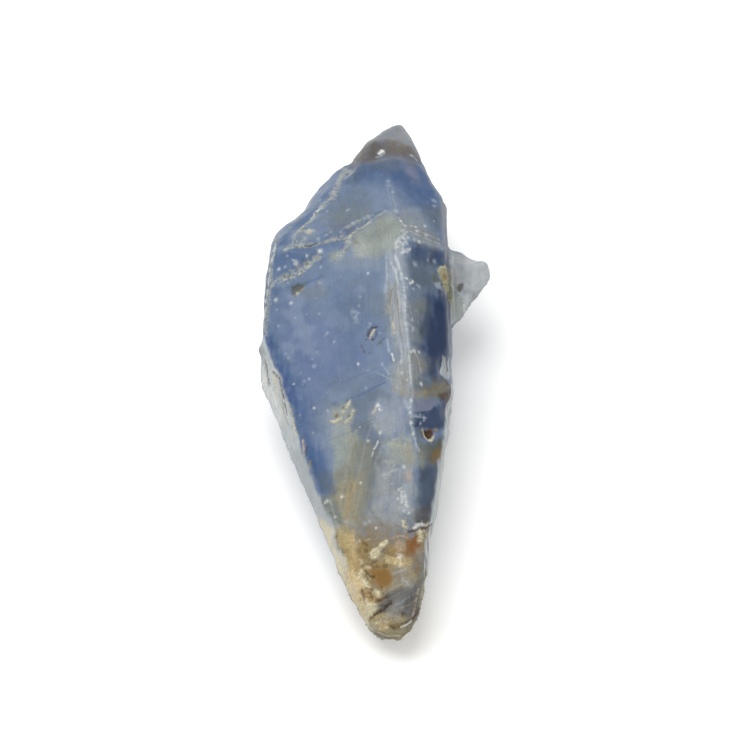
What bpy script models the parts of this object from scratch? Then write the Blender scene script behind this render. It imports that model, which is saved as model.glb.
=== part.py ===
"""Rough blue sapphire: one loose, tapering corundum crystal, built as one solid.

The stone is made the way it came to be. Its growth faces are cleaved from a block, the fin that
stands out at its right is grown on, its edges are worn round, and its skin then gets the healed
fissures, pits, chips, growth ledges and crust that break it up. Its underside is set level where
it rests, which gives it the small flat spot that it lies on.

+Z is up, +Y points to the far, raised end and -Y to the blunt near tip. The origin is under the
middle of the stone, at the height that it rests on. Sizes below are in millimetres and angles in
degrees; the finished mesh is in metres.
"""
import math

import bmesh
import bpy
import numpy as np
from mathutils import Vector, noise

MM = 0.001

# Growth faces: azimuth and tilt of the outward normal, and distance from CENTRE. Azimuth 0 is
# +X and 90 is +Y; a face of tilt 90 looks straight up.
CENTRE = (-0.03, -0.54, 4.44)
CRYSTAL_FACES = {
    "back_left": (-130, 65, 3.15),
    "back_right": (-16, 45, 3.95),
    "side_left": (-157, 17, 5.20),
    "side_right": (-8, 0, 4.15),
    "rest": (0, -90, 4.50),
    "under_left": (-166, -38, 4.70),
    "under_right": (-7, -55, 4.20),
    "tip": (-98, -5, 14.45),
    "tip_left": (-133, 5, 10.10),
    "tip_right": (-49, 19, 10.75),
    "barrel_left": (176, 0, 5.65),
    "barrel_right": (1, 4, 3.90),
    "far_back": (156, 76, 5.20),
    "far_shoulder": (150, 44, 7.15),
    "far_back_right": (23, 67, 5.90),
    "far_side_left": (140, 5, 8.75),
    "far_side_right": (21, 19, 7.15),
    "cap_left": (131, 21, 12.10),
    "cap_right": (37, 9, 12.05),
    "cap_front": (75, 70, 7.40),
    "far_under": (91, -55, 8.20),
    "far_under_left": (138, -36, 8.90),
    "far_under_right": (38, -45, 8.70),
}
FIN_CENTRE = (3.97, 4.66, 4.84)
FIN_FACES = {
    "fin_top": (95, 61, 1.05),
    "fin_front": (-51, 37, 0.30),
    "fin_out": (-24, 5, 2.00),
    "fin_corner": (38, -5, 2.30),
    "fin_back": (88, 6, 2.85),
    "fin_low": (-76, -21, 1.70),
    "fin_under": (20, -70, 1.20),
    "fin_root": (180, 0, 2.20),
}
BLOCK_SIDE = 60.0

# The worn skin: the cell it is rebuilt at and how often it is smoothed, first for the edges and
# then, once the relief is on it, so that no part of it laps over another.
SKIN_CELL = 0.16
WEAR_PASSES = 6
RELIEF_CELL = 0.12
RELIEF_PASSES = 2

# How many triangles are kept, and the angle in degrees past which a fold that this leaves between
# two of them is worn down, in at most so many passes.
TRIANGLES = 9400
FOLD_LIMIT = 65.0
FOLD_PASSES = 60

# The rest face lies a little under zero height. Everything lower than this is set level with zero.
LEVEL_REACH = 0.02

# The marks on the back are laid out on a slanted plan, as the stone is seen from over its near
# tip: PLAN_TILT above level, across to the right and up the slope from the origin.
PLAN_TILT = 50.0

# Healed fissures, each a line on the plan: its width, its depth and the height of its lips.
FISSURES = {
    "shoulder": (0.30, 0.22, 0.10, [(-1.35, 13.10), (-1.75, 12.00), (-2.10, 11.20), (-2.70, 10.90),
                                    (-3.00, 10.45), (-3.85, 9.75), (-4.15, 9.25), (-4.65, 8.65)]),
    "middle": (0.28, 0.22, 0.10, [(0.60, 10.20), (0.20, 10.35), (-0.20, 10.00), (-1.10, 9.60),
                                  (-1.45, 9.10), (-2.60, 9.05), (-3.25, 8.80), (-4.40, 8.75)]),
    "middle_branch": (0.28, 0.16, 0.06, [(-1.45, 9.10), (-1.60, 8.55), (-2.15, 8.00)]),
    "lower": (0.30, 0.24, 0.10, [(-2.95, 8.15), (-3.60, 7.80), (-4.45, 7.25), (-4.80, 7.00)]),
    "notch": (0.32, 0.20, 0.04, [(-4.20, 6.50), (-3.95, 6.45), (-3.65, 6.65)]),
    "fin_root": (0.55, 0.30, 0.08, [(3.10, 7.95), (3.50, 7.40), (3.95, 6.30)]),
    "tip_groove": (0.35, 0.28, 0.06, [(-0.35, -9.70), (0.20, -9.30), (0.75, -8.85)]),
}

# Growth steps: the skin left of each line, as it runs, stands proud of the right by the height.
STEPS = {
    "shoulder": (0.12, [(-4.70, 8.60), (-2.95, 10.50), (-2.10, 11.20), (-1.35, 13.10)]),
    "shoulder_outer": (-0.18, [(-5.60, 9.30), (-4.05, 10.30), (-3.60, 10.95), (-3.10, 11.60)]),
    "cap": (-0.10, [(-1.40, 13.05), (-0.20, 13.15), (1.00, 13.45), (2.20, 13.10)]),
}
STEP_SOFTNESS = 0.14
STEP_REACH = 1.30

# Round marks: place on the plan, radius, and height, which is negative for a pit or a chip.
ROUND_MARKS = {
    "pit_middle": (-0.17, 4.50, 0.26, -0.26),
    "pit_left": (-2.00, 0.50, 0.30, -0.30),
    "pit_right": (2.55, -0.70, 0.34, -0.40),
    "pit_fin": (4.45, 7.55, 0.34, -0.40),
    "chip_right_edge": (3.60, 2.70, 0.75, -0.30),
    "chip_lavender": (2.45, 0.95, 0.95, -0.20),
    "bump_left_edge": (-5.95, 3.50, 0.50, 0.22),
    "crust_middle": (0.20, -6.20, 0.50, 0.22),
    "crust_ridge": (1.40, -5.05, 0.38, 0.16),
    "crust_right": (2.15, -5.20, 0.45, 0.20),
    "crust_tip_left": (-0.75, -8.30, 0.60, 0.18),
    "crust_tip": (0.35, -9.90, 0.70, 0.12),
}

# Scars on the sides that the plan doesn't show: place in the stone, radius and height.
SCARS = {
    "scar_right": ((4.0, -3.5, 2.6), 1.9, -0.34),
    "scar_left": ((-5.8, 3.0, 2.8), 2.2, -0.36),
    "scar_under": ((-1.5, 9.0, 0.6), 2.6, -0.40),
    "scar_far": ((2.6, 12.6, 4.0), 1.8, -0.34),
    "pit_far_left": ((-4.6, 8.6, 4.4), 0.7, -0.34),
    "pit_under_right": ((3.0, 1.5, 1.4), 0.6, -0.30),
    "lump_left": ((-4.4, -3.6, 2.4), 0.9, 0.22),
}

# Growth ledges across the sides and the underside. Each climbs over LEDGE_RISE of its pitch.
LEDGE_PITCH = 1.30
LEDGE_HEIGHT = 0.13
LEDGE_RISE = 0.18
LEDGE_SLANT = 0.12

# Places where the outline stands out or in from the plane faces: across and up on the plan, how far
# round it reaches, and how far it moves the stone across and along.
SHIFTS = {
    "peak": (0.90, 14.80, 1.10, -0.17, 0.00),
    "cap_right": (2.80, 12.40, 1.90, -0.20, 0.00),
    "cap_left": (-1.55, 12.95, 0.85, 0.34, 0.00),
    "shoulder_left": (-3.90, 10.50, 1.20, 0.24, 0.00),
    "side_left": (-5.60, 6.20, 1.70, -0.10, 0.00),
    "bump_left": (-5.90, 3.46, 0.50, -0.26, 0.00),
    "strip_left": (-3.90, -2.60, 2.60, -0.10, 0.00),
    "strip_left_low": (-1.70, -7.60, 1.60, -0.10, 0.00),
    "edge_right": (3.75, 0.50, 0.80, -0.18, 0.00),
    "pit_edge_right": (3.45, -0.85, 0.90, 0.16, 0.00),
    "edge_right_low": (2.35, -5.80, 1.30, -0.20, 0.00),
    "tip": (1.10, -10.90, 1.00, 0.05, -0.42),
    "tip_left": (-0.40, -10.40, 0.70, -0.16, 0.00),
    "fin_top": (5.10, 8.40, 0.90, 0.00, -0.28),
}

# How unevenly the marks run: the size of the unevenness, and its share of each kind of mark.
UNEVEN_SIZE = 0.70
FISSURE_UNEVEN = 0.70
LIP_OFFSET = 1.15
MARK_UNEVEN = 0.25
SCAR_UNEVEN = 0.15
LEDGE_UNEVEN = 0.35

# The slow waviness of the whole skin.
WAVE_SIZE = 3.20
WAVE_HEIGHT = 0.07

# Crust grains round the near tip: where they start and are full, up the plan, the size and the
# height of a grain, and the size of the bare patches between them.
CRUST_START = -5.2
CRUST_FULL = -8.6
CRUST_GRAIN = 0.55
CRUST_HEIGHT = 0.20
CRUST_PATCH = 1.60

# All relief fades in between these heights over the ground, so that the flat spot stays flat.
RELIEF_START = 0.06
RELIEF_FULL = 0.50


def face_normal(azimuth, tilt):
    """Outward normal of a face from its azimuth and tilt."""
    a = math.radians(azimuth)
    t = math.radians(tilt)
    return Vector((math.cos(t) * math.cos(a), math.cos(t) * math.sin(a), math.sin(t)))


def cleave(name, centre, faces):
    """A block cut down face by face to a closed, flat-faced solid."""
    bm = bmesh.new()
    bmesh.ops.create_cube(bm, size=BLOCK_SIDE)
    bmesh.ops.translate(bm, vec=centre, verts=bm.verts)
    for azimuth, tilt, distance in faces.values():
        normal = face_normal(azimuth, tilt)
        whole = bm.verts[:] + bm.edges[:] + bm.faces[:]
        cut = bmesh.ops.bisect_plane(bm, geom=whole, dist=1e-5, clear_outer=True,
                                     plane_co=Vector(centre) + normal * distance, plane_no=normal)
        rim = [part for part in cut["geom_cut"] if isinstance(part, bmesh.types.BMEdge)]
        bmesh.ops.holes_fill(bm, edges=rim, sides=0)
    bmesh.ops.recalc_face_normals(bm, faces=bm.faces)
    mesh = bpy.data.meshes.new(name)
    bm.to_mesh(mesh)
    bm.free()
    obj = bpy.data.objects.new(name, mesh)
    bpy.context.scene.collection.objects.link(obj)
    return obj


def settle(obj):
    """Replace the object's mesh by what its modifiers make of it."""
    bpy.context.view_layer.update()
    evaluated = obj.evaluated_get(bpy.context.evaluated_depsgraph_get())
    mesh = bpy.data.meshes.new_from_object(evaluated)
    obj.modifiers.clear()
    obj.data = mesh


def grow_fin(stone):
    """Join the fin to the stone as one body."""
    fin = cleave("fin", FIN_CENTRE, FIN_FACES)
    join = stone.modifiers.new("grow_fin", "BOOLEAN")
    join.operation = "UNION"
    join.solver = "EXACT"
    join.object = fin
    settle(stone)
    bpy.data.objects.remove(fin)


def rebuild_skin(stone, cell, passes):
    """Rebuild the skin in even cells and smooth it, which rounds every edge a little."""
    skin = stone.modifiers.new("skin", "REMESH")
    skin.mode = "VOXEL"
    skin.voxel_size = cell
    wear = stone.modifiers.new("wear", "SMOOTH")
    wear.factor = 0.5
    wear.iterations = passes
    settle(stone)


def read_vectors(items, attribute):
    """One attribute of many mesh items, as an array of vectors."""
    flat = np.empty(len(items) * 3)
    items.foreach_get(attribute, flat)
    return flat.reshape(-1, 3)


def ramp(value, start, end):
    """0 before start and 1 after end, with a smooth rise between them."""
    t = np.clip((value - start) / (end - start), 0.0, 1.0)
    return t * t * (3.0 - 2.0 * t)


def slanted_plan(points):
    """Where points of the stone lie on the slanted plan."""
    tilt = math.radians(PLAN_TILT)
    up_slope = points[:, 1] * math.sin(tilt) + points[:, 2] * math.cos(tilt)
    return np.stack([points[:, 0], up_slope], axis=1)


def from_line(plan, line):
    """Distance from a line on the plan, and the side of it, positive on the left."""
    nearest = np.full(len(plan), np.inf)
    side = np.ones(len(plan))
    for start, end in zip(line[:-1], line[1:]):
        start = np.array(start)
        run = np.array(end) - start
        offset = plan - start
        t = np.clip(offset @ run / (run @ run), 0.0, 1.0)
        distance = np.linalg.norm(offset - t[:, None] * run, axis=1)
        closer = distance < nearest
        nearest = np.where(closer, distance, nearest)
        cross = run[0] * offset[:, 1] - run[1] * offset[:, 0]
        side = np.where(closer, np.sign(cross), side)
    return nearest, side


def dome(distance, radius):
    """A smooth bump, 1 at its middle and 0 from the radius on."""
    t = np.clip(distance / radius, 0.0, 1.0)
    return (1.0 - t * t) ** 2


def noise_at(points, size, seed=0.0):
    """Smooth noise from -1 to 1 whose lumps are about the size given."""
    shift = Vector((seed * 7.3, seed * 3.1, seed * 5.7))
    return np.array([noise.noise(Vector(p) / size + shift) for p in points])


def grain_at(points, size):
    """Rounded grains, 1 at the middle of each and 0 at its border."""
    near = [noise.voronoi(Vector(p) / size)[0] for p in points]
    return np.array([min(1.0, (d[1] - d[0]) * 1.6) for d in near])


def back_relief(points, seen, uneven):
    """Fissures, steps and round marks on the part that the slanted plan shows."""
    plan = slanted_plan(points)
    height = np.zeros(len(points))
    for width, depth, lip, line in FISSURES.values():
        distance, _ = from_line(plan, line)
        height -= depth * dome(distance, width) * (FISSURE_UNEVEN * (1.0 + uneven))
        height += lip * dome(distance - LIP_OFFSET * width, width) * (FISSURE_UNEVEN - uneven)
    for rise, line in STEPS.values():
        distance, side = from_line(plan, line)
        step = ramp(side * distance, -STEP_SOFTNESS, STEP_SOFTNESS)
        height += rise * (step - 0.5) * (1.0 - ramp(distance, STEP_REACH * 0.5, STEP_REACH))
    for across, up, radius, rise in ROUND_MARKS.values():
        distance = np.linalg.norm(plan - np.array([across, up]), axis=1)
        height += rise * dome(distance * (1.0 + MARK_UNEVEN * uneven), radius)
    return height * seen


def side_relief(points, hidden, uneven):
    """Growth ledges and scars on the sides and the underside."""
    along = points[:, 1] / LEDGE_PITCH + LEDGE_SLANT * points[:, 2] + LEDGE_UNEVEN * uneven
    share = along - np.floor(along)
    ledge = ramp(share, 0.0, LEDGE_RISE) - share
    height = LEDGE_HEIGHT * (ledge - LEDGE_RISE * 2.0) * hidden * ramp(uneven, -0.5, 0.3)
    for centre, radius, rise in SCARS.values():
        distance = np.linalg.norm(points - np.array(centre), axis=1)
        height += rise * dome(distance * (1.0 + SCAR_UNEVEN * uneven), radius)
    return height


def crust_relief(points):
    """Grains of crust round the near tip, in patches."""
    amount = ramp(-slanted_plan(points)[:, 1], -CRUST_START, -CRUST_FULL)
    amount *= ramp(noise_at(points, CRUST_PATCH, seed=2.0), -0.45, 0.25)
    return CRUST_HEIGHT * amount * (grain_at(points, CRUST_GRAIN) - 0.5)


def break_up_skin(stone):
    """Move every point of the skin out or in along its normal by the relief there."""
    mesh = stone.data
    points = read_vectors(mesh.vertices, "co")
    normals = read_vectors(mesh.vertices, "normal")
    tilt = math.radians(PLAN_TILT)
    facing = normals @ np.array([0.0, -math.cos(tilt), math.sin(tilt)])
    uneven = noise_at(points, UNEVEN_SIZE)
    height = back_relief(points, ramp(facing, -0.05, 0.12), uneven)
    height += side_relief(points, 1.0 - ramp(facing, 0.0, 0.35), uneven)
    height += WAVE_HEIGHT * noise_at(points, WAVE_SIZE, seed=1.0)
    height += crust_relief(points)
    height *= ramp(points[:, 2], RELIEF_START, RELIEF_FULL)
    points += normals * height[:, None]
    mesh.vertices.foreach_set("co", points.ravel())
    mesh.update()


def shift_outline(stone):
    """Move the stone's skin level with the ground wherever its outline stands out or in."""
    mesh = stone.data
    points = read_vectors(mesh.vertices, "co")
    plan = slanted_plan(points)
    for across, up, reach, sideways, along in SHIFTS.values():
        share = dome(np.linalg.norm(plan - np.array([across, up]), axis=1), reach)
        points += share[:, None] * np.array([sideways, along, 0.0])
    mesh.vertices.foreach_set("co", points.ravel())
    mesh.update()


def thin_out(stone):
    """Keep small triangles only where the form turns, up to the count set above."""
    mesh = stone.data
    mesh.calc_loop_triangles()
    thin = stone.modifiers.new("thin", "DECIMATE")
    thin.ratio = TRIANGLES / len(mesh.loop_triangles)
    thin.use_collapse_triangulate = True
    settle(stone)


def set_level(stone):
    """Set the underside level with zero height, so that the stone rests on one flat spot."""
    mesh = stone.data
    points = read_vectors(mesh.vertices, "co")
    points[points[:, 2] < LEVEL_REACH, 2] = 0.0
    mesh.vertices.foreach_set("co", points.ravel())
    mesh.update()


def wear_folds(stone):
    """Ease the points of every edge that turns too sharply, above the flat spot, until none does."""
    bm = bmesh.new()
    bm.from_mesh(stone.data)
    limit = math.radians(FOLD_LIMIT)
    for _ in range(FOLD_PASSES):
        folds = [edge for edge in bm.edges if edge.calc_face_angle(0.0) > limit]
        corners = {vert for edge in folds for face in edge.link_faces for vert in face.verts}
        loose = [vert for vert in corners if vert.co.z > 0.0]
        if not loose:
            break
        bmesh.ops.smooth_vert(bm, verts=loose, factor=0.5, use_axis_x=True, use_axis_y=True,
                              use_axis_z=True)
        bm.normal_update()
    bm.to_mesh(stone.data)
    bm.free()


def place_in_metres(stone):
    """Put the middle of the footprint over the origin and turn millimetres to metres."""
    mesh = stone.data
    points = read_vectors(mesh.vertices, "co")
    middle = (points.min(axis=0) + points.max(axis=0)) / 2.0
    points -= np.array([middle[0], middle[1], points[:, 2].min()])
    mesh.vertices.foreach_set("co", (points * MM).ravel())
    mesh.update()


def sapphire_material():
    """Worn corundum: grey-blue, satin, not metallic."""
    material = bpy.data.materials.new("blue_sapphire")
    material.use_nodes = True
    shader = material.node_tree.nodes["Principled BSDF"]
    shader.inputs["Base Color"].default_value = (0.13, 0.20, 0.35, 1.0)
    shader.inputs["Roughness"].default_value = 0.38
    shader.inputs["Metallic"].default_value = 0.0
    shader.inputs["IOR"].default_value = 1.77
    return material


def main():
    for obj in list(bpy.data.objects):
        bpy.data.objects.remove(obj)
    stone = cleave("sapphire_crystal", CENTRE, CRYSTAL_FACES)
    grow_fin(stone)
    rebuild_skin(stone, SKIN_CELL, WEAR_PASSES)
    break_up_skin(stone)
    shift_outline(stone)
    rebuild_skin(stone, RELIEF_CELL, RELIEF_PASSES)
    set_level(stone)
    thin_out(stone)
    set_level(stone)
    wear_folds(stone)
    place_in_metres(stone)
    stone.data.shade_smooth()
    stone.data.materials.clear()
    stone.data.materials.append(sapphire_material())


main()
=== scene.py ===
"""Looks of a rough blue sapphire crystal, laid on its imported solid.

The crystal gets a finer skin than the solid has, with small relief and painted coats of colour, and the
crust of clay and iron stain gets loose grains. Places on the stone's back are written as pixels of the
750 by 750 reference view, and a ray through the camera finds each one on the stone. Sizes are in
millimetres.
"""

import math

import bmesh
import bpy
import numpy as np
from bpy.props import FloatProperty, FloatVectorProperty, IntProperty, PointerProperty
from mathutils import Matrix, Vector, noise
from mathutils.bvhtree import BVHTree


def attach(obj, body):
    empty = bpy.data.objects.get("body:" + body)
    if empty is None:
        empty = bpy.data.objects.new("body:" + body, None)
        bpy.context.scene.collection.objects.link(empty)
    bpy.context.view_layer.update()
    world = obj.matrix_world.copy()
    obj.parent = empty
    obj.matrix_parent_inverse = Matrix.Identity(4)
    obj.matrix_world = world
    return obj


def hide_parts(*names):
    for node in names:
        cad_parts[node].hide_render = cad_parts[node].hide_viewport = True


bl_info = {
    "name": "Rough Blue Sapphire",
    "version": (1, 0, 0),
    "blender": (4, 5, 0),
    "location": "3D View > Sidebar > Sapphire",
    "description": "Skin, coats of colour, crust grains and studio for a rough sapphire crystal",
    "category": "Object",
}

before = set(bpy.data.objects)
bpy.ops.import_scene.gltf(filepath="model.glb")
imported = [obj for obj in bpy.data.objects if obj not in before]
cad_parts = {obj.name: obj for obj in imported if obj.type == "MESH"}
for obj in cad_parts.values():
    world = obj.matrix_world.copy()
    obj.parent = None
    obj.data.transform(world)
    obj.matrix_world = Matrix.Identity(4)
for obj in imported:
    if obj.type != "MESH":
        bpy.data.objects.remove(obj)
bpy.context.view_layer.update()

MM = 0.001
NODE = "sapphire_crystal"
BODY = "root"
EVERYWHERE = slice(None)

# The camera of the reference view: it looks along +Y and down, at a point inside the stone.
IMAGE_SIDE = 750
AIM = np.array([-0.02, -0.59, 4.50])
ELEVATION = math.radians(50.0)
DISTANCE = 220.0
SENSOR = 36.0
LENS = 209.088
BACKWARD = np.array([0.0, -math.cos(ELEVATION), math.sin(ELEVATION)])
UPWARD = np.array([0.0, math.sin(ELEVATION), math.cos(ELEVATION)])
RIGHTWARD = np.array([1.0, 0.0, 0.0])
PIXELS_PER_RADIAN = IMAGE_SIDE * LENS / SENSOR
PIXELS_PER_MM = PIXELS_PER_RADIAN / DISTANCE
RAY_STEPS = 8

# How much of a patch or of a zone shows, by how squarely the surface faces the reference view. The zones
# fade out earlier, so that they aren't drawn out over faces that the view only grazes.
PATCH_START = 0.00
PATCH_FULL = 0.14
ZONE_START = 0.12
ZONE_FULL = 0.30

# The noises that the paint follows: size of the lumps in mm, seed, and how far they are drawn out.
ROUND = (1.0, 1.0, 1.0)
NOISES = {
    "broad": (3.4, 1.0, ROUND),
    "middle": (1.3, 2.0, ROUND),
    "fine": (0.5, 3.0, ROUND),
    "lumps": (0.32, 4.0, ROUND),
    "ragged": (0.16, 5.0, ROUND),
    "granules": (0.13, 6.0, ROUND),
    "drawn": (0.20, 7.0, (1.0, 0.22, 0.45)),
    "blots": (0.30, 8.0, ROUND),
    "grain": (0.13, 9.0, ROUND),
    "streaks": (0.8, 10.0, (1.0, 0.25, 0.8)),
    "winding": (3.6, 11.0, ROUND),
    "gaps": (1.8, 12.0, ROUND),
}

# How far outlines stray, as size of the lumps and amount, both in mm: zones twice, marks once. One seed
# for each direction: across, along and up.
BROAD_STRAY = (1.1, 0.16)
SMALL_STRAY = (0.40, 0.10)
CRISP_STRAY = (0.22, 0.022)
STRAY_SEEDS = (13.0, 14.0, 15.0)

# Sums of noises, each with its share.
GRAINY = {"drawn": 0.30, "grain": 0.20}
GRANULAR = {"granules": 1.0, "lumps": 0.4}
FEATHER = {"drawn": 0.55, "blots": 0.35, "grain": 0.25}
PATCHY = {"middle": 0.22, "drawn": 0.22}
SKIN_RELIEF = {"middle": 0.014, "fine": 0.008}
NEAR_BORDER = {"streaks": 0.6}
TOP_BORDER = {"streaks": 0.5, "middle": 0.4, **GRAINY}
FAR_BORDER = {"streaks": 0.5, "middle": 0.4}
TIP_BORDER = {"middle": 0.5}
STAINED = {"middle": 0.6, "fine": 0.4, "broad": -0.3}
LEDGE_STRAY = {"broad": 0.5, "fine": 0.06}
LEDGE_BROKEN = {"middle": 1.0, "streaks": -1.0}
LEDGE_LINES = {"fine": 1.0, "streaks": 1.0}

# Patchy layers of colour: colour, strength, the noises that they follow, where they start and are full.
LAYERS = {
    "grey depths": ("steel", 0.80, {"broad": 1.0, "middle": 0.5}, (0.10, 0.45)),
    "violet depths": ("violet", 0.80, {"broad": -1.0, "middle": 0.4}, (0.15, 0.55)),
    "light depths": ("sky", 0.70, {"middle": 1.0, "fine": 0.4}, (0.18, 0.50)),
    "deep streaks": ("deep", 0.35, {**GRAINY, "streaks": -1.0, "broad": -0.6}, (0.15, 0.60)),
    # The frost layer paints the side faces pale: frosted skin with a painted reflection of the pale floor.
    "frost": ("pale", 0.60, {"streaks": 0.7, "broad": 0.6, "fine": 0.3, **GRAINY}, (-0.45, 0.50)),
    "milky blots": ("milk", 0.60, {"middle": 1.0, **GRAINY}, (0.05, 0.50)),
    "iron in clay": ("bronze", 0.55, {"fine": 1.0}, (0.05, 0.35)),
    "earth in fissures": ("umber", 0.80, {"fine": 1.0}, (0.0, 0.2)),
    "brown in the crust": ("taupe", 0.80, {"fine": 1.0}, (0.05, 0.35)),
}

# The faces to the right, by the normal's share to the right, and their part by the blunt tip, in mm.
RIGHT_FACES = (0.30, 0.60)
NEAR_TIP = (-0.6, 1.4)
# The right faces by the blunt tip are painted nearly full pale: a painted reflection of the pale floor over
# frosted skin.
FROST_AND_REFLECTION_NEAR_TIP = 0.95

# Belts of colour: colour, strength, and where they start and are full, in mm. Stain and clay go by a sum of
# noises instead.
# The navy belt on the right faces is partly their own clear blue and partly painted shade of faces turned
# from the light.
RIGHT_TOP_NAVY_AND_SHADE = ("navy", 0.90, (2.8, 4.8))
THIN_STAIN = ("sage", 0.60, (0.15, 0.60))
CLAY = ("khaki", 0.80, (0.42, 0.85))
FAR_BAND = ("cap_brown", 0.50, (10.4, 12.4))
FAR_END = ("cap_grey", 0.60, (12.4, 14.0))
TIP_CRUST = ("tan", 0.80, (6.2, 9.0))
WORN_EDGES = ("haze", 0.12, (0.012, 0.045))
STAIN_IN_HOLLOWS = 9.0
STAIN_ON_LEDGES = 0.15
STAIN_OFF_THE_TOP = 0.3
CLAY_CRUST = 0.6
TIP_CRUSTINESS = 0.9

# Growth ledges of the sides: their pitch, height and lean, and the thin pale line at each one's foot.
LEDGE_PITCH = 0.85
LEDGE_HEIGHT = 0.040
LEDGE_LEAN = 0.25
LEDGE_WAVER = 0.5
LEDGE_RISE = (0.0, 0.30)
LEDGE_GAPS = (-0.30, 0.30)
LEDGE_ON_TOP = 0.7
LINE_STRENGTH = 0.20
LINE_RISE = (0.0, 0.10)
LINE_FALL = (-0.30, -0.10)
LINE_GAPS = (0.0, 0.5)
LINE_ON_TOP = 0.8

# Healed fissures of the sides: they run where a broad noise crosses zero.
FISSURE_GAPS = (-0.15, 0.15)
FISSURE_EDGE = (0.010, 0.042)
FISSURE_CORE = (0.000, 0.014)
FISSURE_WAVER = 0.02
FISSURE_STRENGTH = 0.85
FISSURE_CRUST = 0.6
FISSURE_HEIGHT = 0.030

# Marks: seams are full where the granular noise is high, and borders are ragged. Grazing faces keep the
# zones' borders calm.
GRANULAR_RAMP = (-0.60, 0.10)
PATCH_RAGGED = 0.04
WIDTH_RAGGED = 0.50
SPREAD = 3.0
CALM_FACING = 0.50
LEAST_CALM = 0.05
PATCHY_MEAN = 0.97
PATCHY_LEAST = 0.76

# The skin: points of the solid that count as one, how much a pass of wear smooths, the passes that tell
# hollows from edges, where the relief starts above the floor, how near a mark is looked for, the step in
# pixels between the points of a line, and the darkest colour.
SAME_PLACE = 0.001
WEAR_FACTOR = 0.5
HOLLOW_PASSES = 6
RELIEF_START = (0.02, 0.30)
MARK_REACH = 0.5
LINE_STEP = 4.0
DARKEST = 0.006

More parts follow.
